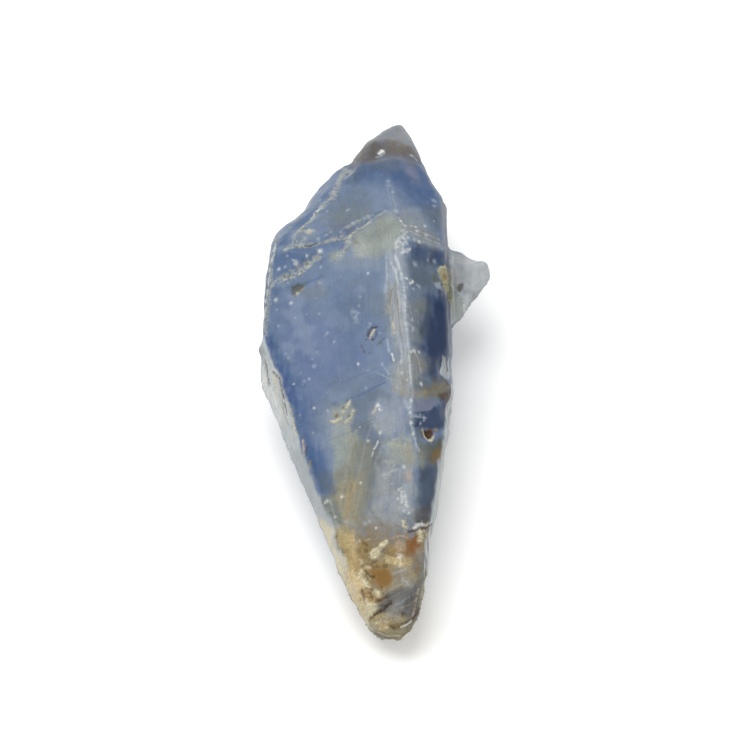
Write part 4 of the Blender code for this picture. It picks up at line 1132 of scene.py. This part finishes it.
def fine_skin(settings):
    """The solid's surface rebuilt in fine even cells, in millimetres."""
    stone = bpy.data.objects.new("skin", merged_copy(NODE))
    bpy.context.scene.collection.objects.link(stone)
    cells = stone.modifiers.new("cells", "REMESH")
    cells.mode = "VOXEL"
    cells.voxel_size = settings.cell
    wear = stone.modifiers.new("wear", "SMOOTH")
    wear.factor = WEAR_FACTOR
    wear.iterations = settings.wear_passes
    mesh = evaluated_mesh(stone)
    bpy.data.objects.remove(stone)
    return mesh


def halve_cells(mesh, chosen):
    """Halve the cells round the chosen points and turn every face into triangles."""
    work = bmesh.new()
    work.from_mesh(mesh)
    work.verts.ensure_lookup_table()
    edges = {e for i in np.nonzero(chosen)[0] for e in work.verts[i].link_edges}
    bmesh.ops.subdivide_edges(work, edges=list(edges), cuts=1, use_grid_fill=True)
    bmesh.ops.triangulate(work, faces=work.faces)
    work.to_mesh(mesh)
    work.free()
    mesh.update()


def hollowness(mesh, points, normals, passes):
    """How hollow the surface is at each point, above 0 in hollows and below 0 on edges."""
    edges = np.empty(len(mesh.edges) * 2, int)
    mesh.edges.foreach_get("vertices", edges)
    a, b = edges.reshape(-1, 2).T
    count = len(points)
    links = np.bincount(a, minlength=count) + np.bincount(b, minlength=count)

    def mean_of_neighbours(values):
        return (np.bincount(a, values[b], count) + np.bincount(b, values[a], count)) / links

    spread = points
    for _ in range(passes):
        spread = np.stack([mean_of_neighbours(spread[:, i]) for i in range(3)], axis=1)
    return np.einsum("ij,ij->i", spread - points, normals)


def palette(settings, skin):
    """Every colour as the surface's own, with the veil of the studio's reflection taken off."""
    names = SapphireColours.__annotations__
    shown = {name: np.array(getattr(settings, name)) for name in names}
    return {name: np.maximum(DARKEST, (value - skin.veil) / skin.light) for name, value in shown.items()}


def lay(coat, index, weight, colour):
    """Lay a colour over the coat at some points."""
    coat[index] += weight[:, None] * (colour - coat[index])


def surface_noises(points):
    """Every noise of NOISES at the points."""
    return {
        name: noise_at(points * np.array(drawn_out), size, seed)
        for name, (size, seed, drawn_out) in NOISES.items()
    }


def blend(noises, shares):
    """The sum of some noises, each by its share."""
    return sum(share * noises[name] for name, share in shares.items())


def layer_cover(name, noises):
    """How strongly a patchy layer covers each point."""
    _, strength, shares, rise = LAYERS[name]
    return strength * ramp(blend(noises, shares), *rise)


def lay_layer(coat, name, noises, hues, share=1.0):
    """Lay a patchy layer over the coat, by a share at each point."""
    lay(coat, EVERYWHERE, share * layer_cover(name, noises), hues[LAYERS[name][0]])


def lay_belt(coat, belt, value, hues, share=1.0):
    """Lay a belt over the coat where the value rises. Gives how far it covers each point."""
    colour, strength, rise = belt
    cover = share * ramp(value, *rise)
    lay(coat, EVERYWHERE, strength * cover, hues[colour])
    return cover


def paint_sides(coat, points, normals, noises, side, granular, hollow, hues):
    """Frost with a painted reflection of the pale floor, growth ledges, clay and healed fissures on the
    sides. Gives their crust and relief.
    """
    right = side * ramp(normals[:, 0], *RIGHT_FACES)
    near_tip = right * ramp(blend(noises, NEAR_BORDER) - points[:, 1], *NEAR_TIP)
    lay_layer(coat, "deep streaks", noises, hues, side)
    # painted reflection: the sides, and most of all the right faces by the blunt tip, are painted as pale as
    # the floor's reflection shows them
    frost = np.maximum(side * layer_cover("frost", noises), FROST_AND_REFLECTION_NEAR_TIP * near_tip)
    lay(coat, EVERYWHERE, frost, hues["pale"])
    lay_layer(coat, "milky blots", noises, hues, side)
    # the right faces get navy above a height: partly their own blue, partly painted shade
    height = points[:, 2] + blend(noises, TOP_BORDER)
    top = lay_belt(coat, RIGHT_TOP_NAVY_AND_SHADE, height, hues, right * (1.0 - near_tip))

    # growth ledges cross the sides, each with a thin pale line at its foot
    lean = points[:, 1] + LEDGE_LEAN * points[:, 2]
    phase = (lean + blend(noises, LEDGE_STRAY)) / LEDGE_PITCH + LEDGE_WAVER * noises["middle"]
    along = phase - np.floor(phase)
    broken = side * ramp(blend(noises, LEDGE_BROKEN), *LEDGE_GAPS)
    relief = LEDGE_HEIGHT * broken * (1.0 - LEDGE_ON_TOP * top) * (ramp(along, *LEDGE_RISE) - along)
    line = ramp(along, *LINE_RISE) * ramp(-along, *LINE_FALL) * ramp(blend(noises, LEDGE_LINES), *LINE_GAPS)
    lay(coat, EVERYWHERE, LINE_STRENGTH * side * (1.0 - LINE_ON_TOP * top) * line, hues["haze"])

    # stain and clay lie in the hollows and on the ledges
    stain = blend(noises, STAINED) + STAIN_IN_HOLLOWS * hollow
    stain += STAIN_ON_LEDGES * (1.0 - along) - STAIN_OFF_THE_TOP * top
    lay_belt(coat, THIN_STAIN, stain, hues, side)
    clay = lay_belt(coat, CLAY, stain, hues, side * granular)
    lay_layer(coat, "iron in clay", noises, hues, clay)

    # healed fissures wind over them, granular and with earth in their core
    winding = np.abs(noises["winding"])
    cracked = side * ramp(noises["gaps"], *FISSURE_GAPS)
    vein = cracked * (1.0 - ramp(winding + FISSURE_WAVER * noises["fine"], *FISSURE_EDGE)) * granular
    lay(coat, EVERYWHERE, FISSURE_STRENGTH * vein, hues["ash"])
    lay_layer(coat, "earth in fissures", noises, hues, cracked * (1.0 - ramp(winding, *FISSURE_CORE)))
    crust = np.maximum(CLAY_CRUST * clay, FISSURE_CRUST * vein)
    return crust, relief + FISSURE_HEIGHT * vein


def paint_zones(coat, crust, points, facing, noises, hues):
    """The crystal's zones: feathered borders drawn out along the stone, and patchy inside."""
    calm = np.clip(facing / CALM_FACING, LEAST_CALM, 1.0)
    shown = ramp(facing, ZONE_START, ZONE_FULL)
    feather = calm * blend(noises, FEATHER)
    patchy = np.clip(PATCHY_MEAN + blend(noises, PATCHY), PATCHY_LEAST, 1.0)
    strayed = wander(wander(points, *BROAD_STRAY), *SMALL_STRAY) - points
    places = view_pixels(points + calm[:, None] * strayed)
    for group in ZONES.values():
        for colour, soft, strength, *outline in group:
            index = box_about(places, np.array(outline, float), 2.0 * soft * PIXELS_PER_MM)
            depth = depth_inside(places[index], outline) / PIXELS_PER_MM + soft * feather[index]
            weight = strength * shown[index] * ramp(depth, -soft, soft) * patchy[index]
            lay(coat, index, weight, hues[colour])
            crust[index] += weight * (COATS.get(colour, NO_COAT)[1] - crust[index])


def paint_ends(coat, crust, points, noises, side, hollow, hues):
    """The bands round the pointed end, the crust round the blunt tip, and paler worn edges."""
    end = points[:, 1] + blend(noises, FAR_BORDER)
    lay_belt(coat, FAR_BAND, end, hues, side)
    lay_belt(coat, FAR_END, end, hues, side)
    tip = lay_belt(coat, TIP_CRUST, blend(noises, TIP_BORDER) - points @ UPWARD, hues, side)
    lay_layer(coat, "brown in the crust", noises, hues, tip)
    lay_belt(coat, WORN_EDGES, -hollow, hues)
    return np.maximum(crust, TIP_CRUSTINESS * tip)


def paint_marks(coat, crust, relief, points, facing, noises, granular, placed, hues):
    """Fissures, specks, pits, chips and crumbs, lowest first. Gives the wear of the ridge."""
    worn = np.zeros(len(points))
    seen = ramp(facing, PATCH_START, PATCH_FULL)
    strayed = wander(points, *CRISP_STRAY)
    places = view_pixels(strayed)
    for mark in placed:
        kind, colour, size, strength = mark[:4]
        soft = size if kind == "patch" else max(LEAST_SOFT, SOFTNESS[kind] * size)
        index, depth = mark_cover(mark, strayed, places, noises["ragged"], SPREAD * soft)
        weight = strength * ramp(depth, -soft, soft)
        if kind == "wear":
            worn[index] = np.maximum(worn[index], weight)
            continue
        if kind == "patch":
            weight *= seen[index]
        if kind == "seam":
            weight *= granular[index]
        height, crusty = COATS.get(colour, NO_COAT)
        lay(coat, index, weight, hues[colour])
        crust[index] += weight * (crusty - crust[index])
        relief[index] += weight * height
    return worn


def paint(mesh, placed, hues):
    """The skin's points and normals, and the colour, crust, wear and relief at each of them."""
    points = read_vectors(mesh.vertices, "co")
    normals = read_vectors(mesh.vertices, "normal")
    facing = normals @ BACKWARD
    side = 1.0 - ramp(facing, ZONE_START, ZONE_FULL)
    noises = surface_noises(points)
    hollow = hollowness(mesh, points, normals, HOLLOW_PASSES)
    granular = ramp(blend(noises, GRANULAR), *GRANULAR_RAMP)
    coat = np.tile(hues["blue"], (len(points), 1))
    for name in ("grey depths", "violet depths", "light depths"):
        lay_layer(coat, name, noises, hues)
    crust, relief = paint_sides(coat, points, normals, noises, side, granular, hollow, hues)
    relief += blend(noises, SKIN_RELIEF)
    paint_zones(coat, crust, points, facing, noises, hues)
    crust = paint_ends(coat, crust, points, noises, side, hollow, hues)
    worn = paint_marks(coat, crust, relief, points, facing, noises, granular, placed, hues)
    return points, normals, coat, crust, worn, relief


def store(mesh, name, kind, values):
    """Keep one value for each point of the mesh as an attribute."""
    attribute = mesh.attributes.new(name, kind, "POINT")
    field = "color" if kind == "FLOAT_COLOR" else "value"
    attribute.data.foreach_set(field, values.astype(np.float32).ravel())


def node(tree, kind, settings=None, **links):
    """Add a node, set its values and link its inputs.

    A number stands for an input's place, and a name's double underscore for a space. Map Range nodes take
    their ends by place: 1 and 2 are the range read, 3 and 4 the range given.
    """
    added = tree.nodes.new(kind)
    for key, value in (settings or {}).items():
        if isinstance(key, str) and hasattr(added, key):
            setattr(added, key, value)
        else:
            added.inputs[key].default_value = value
    for key, source in links.items():
        name = key.replace("__", " ")
        socket = added.inputs[int(name[1:])] if name[0] == "_" else added.inputs[name]
        tree.links.new(source, socket)
    return added


def new_material(name):
    """An empty node material with its output, and its node tree."""
    material = bpy.data.materials.new(name)
    material.use_nodes = True
    material.node_tree.nodes.clear()
    return material, material.node_tree


def corundum_material(settings):
    """Etched corundum: a satin skin of tiny growth pits over a blue body, dull where clay coats it."""
    material, tree = new_material("etched_corundum")
    place = node(tree, "ShaderNodeTexCoord").outputs["Object"]
    coat = node(tree, "ShaderNodeAttribute", {"attribute_name": "coat"}).outputs["Color"]
    crust = node(tree, "ShaderNodeAttribute", {"attribute_name": "crust"}).outputs["Fac"]
    worn = node(tree, "ShaderNodeAttribute", {"attribute_name": "worn"}).outputs["Fac"]

    # mottling 0.45 mm across, and 0.10 mm across where crust makes it coarse
    wide = node(tree, "ShaderNodeTexNoise", {"Scale": 1.0 / (0.45 * MM), "Detail": 3.0}, Vector=place)
    tight = node(tree, "ShaderNodeTexNoise", {"Scale": 1.0 / (0.10 * MM), "Detail": 4.0}, Vector=place)
    wide_gain = node(
        tree, "ShaderNodeMapRange", {1: 0.3, 2: 0.7, 3: 0.93, 4: 1.07}, Value=wide.outputs["Fac"]
    )
    centred = node(tree, "ShaderNodeMath", {"operation": "SUBTRACT", 1: 0.5}, _0=tight.outputs["Fac"])
    amount = node(tree, "ShaderNodeMapRange", {1: 0.0, 2: 1.0, 3: 0.40, 4: 1.60}, Value=crust)
    tight_gain = node(
        tree, "ShaderNodeMath", {"operation": "MULTIPLY_ADD", 2: 1.0},
        _0=centred.outputs["Value"], _1=amount.outputs["Result"],
    )

    # growth lines 0.2 mm apart, drawn out along the stone
    drawn = node(
        tree, "ShaderNodeMapping",
        {"vector_type": "TEXTURE", "Rotation": (0.0, 0.0, math.radians(7.0)), "Scale": (0.12, 2.0, 2.0)},
        Vector=place,
    )
    streak = node(
        tree, "ShaderNodeTexNoise", {"Scale": 1.0 / MM, "Detail": 3.0}, Vector=drawn.outputs["Vector"]
    )
    streak_gain = node(
        tree, "ShaderNodeMapRange", {1: 0.3, 2: 0.7, 3: 0.96, 4: 1.04}, Value=streak.outputs["Fac"]
    )
    gain = node(
        tree, "ShaderNodeMath", {"operation": "MULTIPLY"},
        _0=wide_gain.outputs["Result"], _1=tight_gain.outputs["Value"],
    )
    gain = node(
        tree, "ShaderNodeMath", {"operation": "MULTIPLY"},
        _0=gain.outputs["Value"], _1=streak_gain.outputs["Result"],
    )
    shade = node(tree, "ShaderNodeVectorMath", {"operation": "SCALE"}, _0=coat, Scale=gain.outputs["Value"])

    # whitish scuffs on the worn ridge, 0.05 mm wide and drawn out along it
    along = node(
        tree, "ShaderNodeMapping",
        {"vector_type": "TEXTURE", "Rotation": (0.0, 0.0, math.radians(4.0)), "Scale": (0.055, 1.1, 1.1)},
        Vector=place,
    )
    scuff = node(
        tree, "ShaderNodeTexNoise", {"Scale": 1.0 / MM, "Detail": 4.0, "Roughness": 0.6},
        Vector=along.outputs["Vector"],
    )
    scuff_share = node(
        tree, "ShaderNodeMapRange", {1: 0.45, 2: 0.64, 3: 0.0, 4: 0.75}, Value=scuff.outputs["Fac"]
    )
    scuffed_share = node(
        tree, "ShaderNodeMath", {"operation": "MULTIPLY"}, _0=worn, _1=scuff_share.outputs["Result"]
    )
    scuffed = node(
        tree, "ShaderNodeMix", {"data_type": "RGBA", 7: (*linear(SCUFF), 1.0)}, _6=shade.outputs["Vector"]
    )
    tree.links.new(scuffed_share.outputs["Value"], scuffed.inputs[0])

    # bruise specks 0.06 mm across, in one cell of seven
    cells = node(tree, "ShaderNodeTexVoronoi", {"Scale": 1.0 / (0.75 * MM)}, Vector=place)
    chance = node(tree, "ShaderNodeSeparateColor", {}, Color=cells.outputs["Color"])
    radius = node(
        tree, "ShaderNodeMapRange", {1: 0.86, 2: 1.0, 3: 0.0, 4: 0.075}, Value=chance.outputs["Red"]
    )
    speck = node(
        tree, "ShaderNodeMath", {"operation": "LESS_THAN"},
        _0=cells.outputs["Distance"], _1=radius.outputs["Result"],
    )
    speckled = node(
        tree, "ShaderNodeMix", {"data_type": "RGBA", 7: (*linear(SPECK), 1.0)}, _6=scuffed.outputs[2]
    )
    speck_share = node(tree, "ShaderNodeMath", {"operation": "MULTIPLY", 1: 0.55}, _0=speck.outputs["Value"])
    tree.links.new(speck_share.outputs["Value"], speckled.inputs[0])

    # roughness follows the crust and the tight mottling
    dull = node(tree, "ShaderNodeMapRange", {1: 0.0, 2: 1.0, 3: settings.roughness, 4: 0.80}, Value=crust)
    uneven_dull = node(
        tree, "ShaderNodeMath", {"operation": "MULTIPLY"},
        _0=dull.outputs["Result"], _1=tight_gain.outputs["Value"],
    )

    # etch pits and crust grain, in the relief that light shows
    pits = node(
        tree, "ShaderNodeTexNoise", {"Scale": 1.0 / (0.09 * MM), "Detail": 5.0, "Roughness": 0.6},
        Vector=place,
    )
    depth = node(tree, "ShaderNodeMapRange", {1: 0.0, 2: 1.0, 3: 0.35, 4: 1.0}, Value=crust)
    etched = node(
        tree, "ShaderNodeBump", {"Distance": 0.020 * MM}, Strength=depth.outputs["Result"],
        Height=pits.outputs["Fac"],
    )
    lined = node(
        tree, "ShaderNodeBump", {"Distance": 0.012 * MM, "Strength": 0.4}, Height=streak.outputs["Fac"],
        Normal=etched.outputs["Normal"],
    )
    surface = node(
        tree, "ShaderNodeBsdfPrincipled", {"IOR": 1.77, "Specular IOR Level": 0.12},
        Base__Color=speckled.outputs[2], Roughness=uneven_dull.outputs["Value"],
        Normal=lined.outputs["Normal"],
    )
    node(tree, "ShaderNodeOutputMaterial", {}, Surface=surface.outputs["BSDF"])
    return material


def clay_material():
    """Dried clay and iron stain in crumbs: matt and granular, each crumb a little lighter or darker."""
    material, tree = new_material("dried_clay")
    coat = node(tree, "ShaderNodeAttribute", {"attribute_name": "coat"}).outputs["Color"]
    tint = node(tree, "ShaderNodeAttribute", {"attribute_name": "tint"}).outputs["Fac"]
    gain = node(tree, "ShaderNodeMapRange", {1: 0.0, 2: 1.0, 3: 0.80, 4: 1.45}, Value=tint)
    shade = node(tree, "ShaderNodeVectorMath", {"operation": "SCALE"}, _0=coat, Scale=gain.outputs["Result"])
    surface = node(
        tree, "ShaderNodeBsdfPrincipled", {"Roughness": 0.85, "IOR": 1.50},
        Base__Color=shade.outputs["Vector"],
    )
    node(tree, "ShaderNodeOutputMaterial", {}, Surface=surface.outputs["BSDF"])
    return material


def floor_material():
    """Matt white card, lit faintly from below as on a light table, which softens the shadows."""
    material, tree = new_material("matt_white_card")
    glow = {"Emission Color": (1.0, 1.0, 1.0, 1.0), "Emission Strength": 0.10}
    card = {"Base Color": (*linear(CARD), 1.0), "Roughness": 0.9}
    surface = node(tree, "ShaderNodeBsdfPrincipled", {**card, **glow})
    node(tree, "ShaderNodeOutputMaterial", {}, Surface=surface.outputs["BSDF"])
    return material


def crust_grain_tree(material):
    """Geometry Nodes that strew crumbs of a few faces over the crust."""
    tree = bpy.data.node_groups.new("strew_crust_grains", "GeometryNodeTree")
    face = tree.interface
    face.new_socket("Surface", in_out="INPUT", socket_type="NodeSocketGeometry")
    face.new_socket("Density", in_out="INPUT", socket_type="NodeSocketFloat")
    face.new_socket("Size", in_out="INPUT", socket_type="NodeSocketFloat")
    face.new_socket("Seed", in_out="INPUT", socket_type="NodeSocketInt")
    face.new_socket("Grains", in_out="OUTPUT", socket_type="NodeSocketGeometry")
    given = node(tree, "NodeGroupInput").outputs
    crust = node(tree, "GeometryNodeInputNamedAttribute", {"Name": "crust"}).outputs["Attribute"]
    # thin crust stays bare, so the count rises steeply with the crust
    steep = node(tree, "ShaderNodeMath", {"operation": "POWER", 1: 4.0}, _0=crust)
    density = node(
        tree, "ShaderNodeMath", {"operation": "MULTIPLY"}, _0=given["Density"], _1=steep.outputs["Value"]
    )
    scatter = node(
        tree, "GeometryNodeDistributePointsOnFaces", {"distribute_method": "RANDOM"},
        Mesh=given["Surface"], Density=density.outputs["Value"], Seed=given["Seed"],
    )
    crumb = node(tree, "GeometryNodeMeshIcoSphere", {"Radius": 1.0, "Subdivisions": 1})
    turn = node(
        tree, "FunctionNodeRandomValue",
        {"data_type": "FLOAT_VECTOR", 0: (0.0, 0.0, 0.0), 1: (6.3, 6.3, 6.3)}, Seed=given["Seed"],
    )
    stretch = node(
        tree, "FunctionNodeRandomValue",
        {"data_type": "FLOAT_VECTOR", 0: (0.45, 0.45, 0.35), 1: (1.5, 1.3, 0.9)}, Seed=given["Seed"],
    )
    size = node(
        tree, "ShaderNodeVectorMath", {"operation": "SCALE"}, _0=stretch.outputs[0], Scale=given["Size"]
    )
    laid = node(
        tree, "GeometryNodeInstanceOnPoints", {}, Points=scatter.outputs["Points"],
        Instance=crumb.outputs["Mesh"], Rotation=turn.outputs[0], Scale=size.outputs["Vector"],
    )
    tint = node(tree, "FunctionNodeRandomValue", {"data_type": "FLOAT"}, Seed=given["Seed"])
    tinted = node(
        tree, "GeometryNodeStoreNamedAttribute",
        {"data_type": "FLOAT", "domain": "INSTANCE", "Name": "tint"},
        Geometry=laid.outputs["Instances"], Value=tint.outputs[1],
    )
    real = node(tree, "GeometryNodeRealizeInstances", {}, Geometry=tinted.outputs["Geometry"])
    dressed = node(
        tree, "GeometryNodeSetMaterial", {"Material": material}, Geometry=real.outputs["Geometry"]
    )
    node(tree, "NodeGroupOutput", {}, Grains=dressed.outputs["Geometry"])
    return tree


class SAPPHIRE_OT_crystal(bpy.types.Operator):
    """Build the crystal's skin with its fine relief and coats of colour"""

    bl_idname = "sapphire.crystal"
    bl_label = "Build Crystal"

    def execute(self, context):
        scene = context.scene
        skin = scene.sapphire_skin
        mesh = fine_skin(skin)
        points = read_vectors(mesh.vertices, "co")
        faces = [tuple(p.vertices) for p in mesh.polygons]
        placed = place_marks(BVHTree.FromPolygons(points.tolist(), faces))
        facing = read_vectors(mesh.vertices, "normal") @ BACKWARD
        halve_cells(mesh, near_marks(points, facing, placed, skin.fine_margin))
        hues = palette(scene.sapphire_colours, skin)
        points, normals, coat, crust, worn, relief = paint(mesh, placed, hues)
        relief *= ramp(points[:, 2], *RELIEF_START)
        points += normals * relief[:, None]
        points[:, 2] = np.maximum(points[:, 2], 0.0)
        mesh.vertices.foreach_set("co", (points * MM).ravel())
        store(mesh, "coat", "FLOAT_COLOR", np.column_stack([coat, np.ones(len(coat))]))
        store(mesh, "crust", "FLOAT", np.clip(crust, 0.0, 1.0))
        store(mesh, "worn", "FLOAT", worn)
        mesh.shade_smooth()
        mesh.materials.clear()
        mesh.materials.append(corundum_material(skin))
        mesh.update()
        piece = bpy.data.objects.new("rough_crystal", mesh)
        scene.collection.objects.link(piece)
        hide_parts(NODE)
        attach(piece, BODY)
        self.report({"INFO"}, f"{len(mesh.polygons)} triangles")
        return {"FINISHED"}


class SAPPHIRE_OT_grains(bpy.types.Operator):
    """Strew crumbs of clay over the crust"""

    bl_idname = "sapphire.grains"
    bl_label = "Strew Crust Grains"

    def execute(self, context):
        settings = context.scene.sapphire_grains
        crystal = bpy.data.objects.get("rough_crystal")
        if crystal is None:
            raise RuntimeError("build the crystal first")
        carrier = bpy.data.objects.new("grain_carrier", crystal.data)
        context.scene.collection.objects.link(carrier)
        clay = clay_material()
        tree = crust_grain_tree(clay)
        strew = carrier.modifiers.new("strew", "NODES")
        strew.node_group = tree
        values = {"Density": settings.density / MM ** 2, "Size": settings.size * MM, "Seed": settings.seed}
        for item in tree.interface.items_tree:
            if item.in_out == "INPUT" and item.name in values:
                strew[item.identifier] = values[item.name]
        mesh = evaluated_mesh(carrier)
        bpy.data.objects.remove(carrier)
        mesh.materials.clear()
        mesh.materials.append(clay)
        if not mesh.polygons:
            raise RuntimeError("the crust carries no grains")
        piece = bpy.data.objects.new("crust_grains", mesh)
        context.scene.collection.objects.link(piece)
        points = read_vectors(mesh.vertices, "co")
        points[:, 2] = np.maximum(points[:, 2], 0.0)
        mesh.vertices.foreach_set("co", points.ravel())
        mesh.update()
        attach(piece, BODY)
        return {"FINISHED"}


class SAPPHIRE_OT_stage(bpy.types.Operator):
    """Lay the floor and set the studio's light and camera"""

    bl_idname = "sapphire.stage"
    bl_label = "Set Stage"

    def execute(self, context):
        scene = context.scene
        settings = scene.sapphire_stage
        side = settings.floor_side * MM / 2
        mesh = bpy.data.meshes.new("studio_floor")
        corners = [(-side, -side, 0), (side, -side, 0), (side, side, 0), (-side, side, 0)]
        mesh.from_pydata(corners, [], [(0, 1, 2, 3)])
        mesh.materials.append(floor_material())
        floor = bpy.data.objects.new("studio_floor", mesh)
        scene.collection.objects.link(floor)

        world = bpy.data.worlds.new("white_studio")
        world.use_nodes = True
        background = world.node_tree.nodes["Background"]
        background.inputs["Color"].default_value = (1.0, 1.0, 1.0, 1.0)
        background.inputs["Strength"].default_value = settings.surroundings
        scene.world = world

        light = bpy.data.lights.new("soft_key", "AREA")
        light.shape = "DISK"
        light.size = KEY_SIZE * MM
        light.energy = settings.key
        key = bpy.data.objects.new("soft_key", light)
        scene.collection.objects.link(key)
        key.location = Vector(KEY_PLACE) * MM
        key.rotation_euler = (-key.location).to_track_quat("-Z", "Y").to_euler()

        lens = bpy.data.cameras.new("reference_view")
        lens.sensor_width = SENSOR
        lens.lens = LENS
        lens.clip_start = NEAREST_SEEN
        camera = bpy.data.objects.new("reference_view", lens)
        scene.collection.objects.link(camera)
        camera.location = Vector(AIM + DISTANCE * BACKWARD) * MM
        camera.rotation_euler = Vector(-BACKWARD).to_track_quat("-Z", "Y").to_euler()
        scene.camera = camera
        scene.view_settings.view_transform = "Standard"
        return {"FINISHED"}


class SAPPHIRE_PT_panel(bpy.types.Panel):
    """Lists the steps and their settings"""

    bl_label = "Rough Sapphire"
    bl_idname = "SAPPHIRE_PT_panel"
    bl_space_type = "VIEW_3D"
    bl_region_type = "UI"
    bl_category = "Sapphire"

    def draw(self, context):
        scene = context.scene
        for operator, settings in (
            ("sapphire.crystal", (scene.sapphire_skin, scene.sapphire_colours)),
            ("sapphire.grains", (scene.sapphire_grains,)),
            ("sapphire.stage", (scene.sapphire_stage,)),
        ):
            box = self.layout.box()
            box.operator(operator)
            for group in settings:
                for name in group.__annotations__:
                    box.prop(group, name)


SETTINGS = {
    "sapphire_colours": SapphireColours,
    "sapphire_skin": SapphireSkin,
    "sapphire_grains": SapphireGrains,
    "sapphire_stage": SapphireStage,
}
CLASSES = (*SETTINGS.values(), SAPPHIRE_OT_crystal, SAPPHIRE_OT_grains, SAPPHIRE_OT_stage, SAPPHIRE_PT_panel)


def register():
    """Register the classes and put the settings on the scene."""
    for cls in CLASSES:
        bpy.utils.register_class(cls)
    for name, group in SETTINGS.items():
        setattr(bpy.types.Scene, name, PointerProperty(type=group))


def unregister():
    """Take the settings and the classes off again."""
    for name in SETTINGS:
        delattr(bpy.types.Scene, name)
    for cls in reversed(CLASSES):
        bpy.utils.unregister_class(cls)


def main():
    """Build everything in order, with the solid kept hidden."""
    register()
    bpy.ops.sapphire.crystal()
    bpy.ops.sapphire.grains()
    bpy.ops.sapphire.stage()


if __name__ == "__main__":
    main()
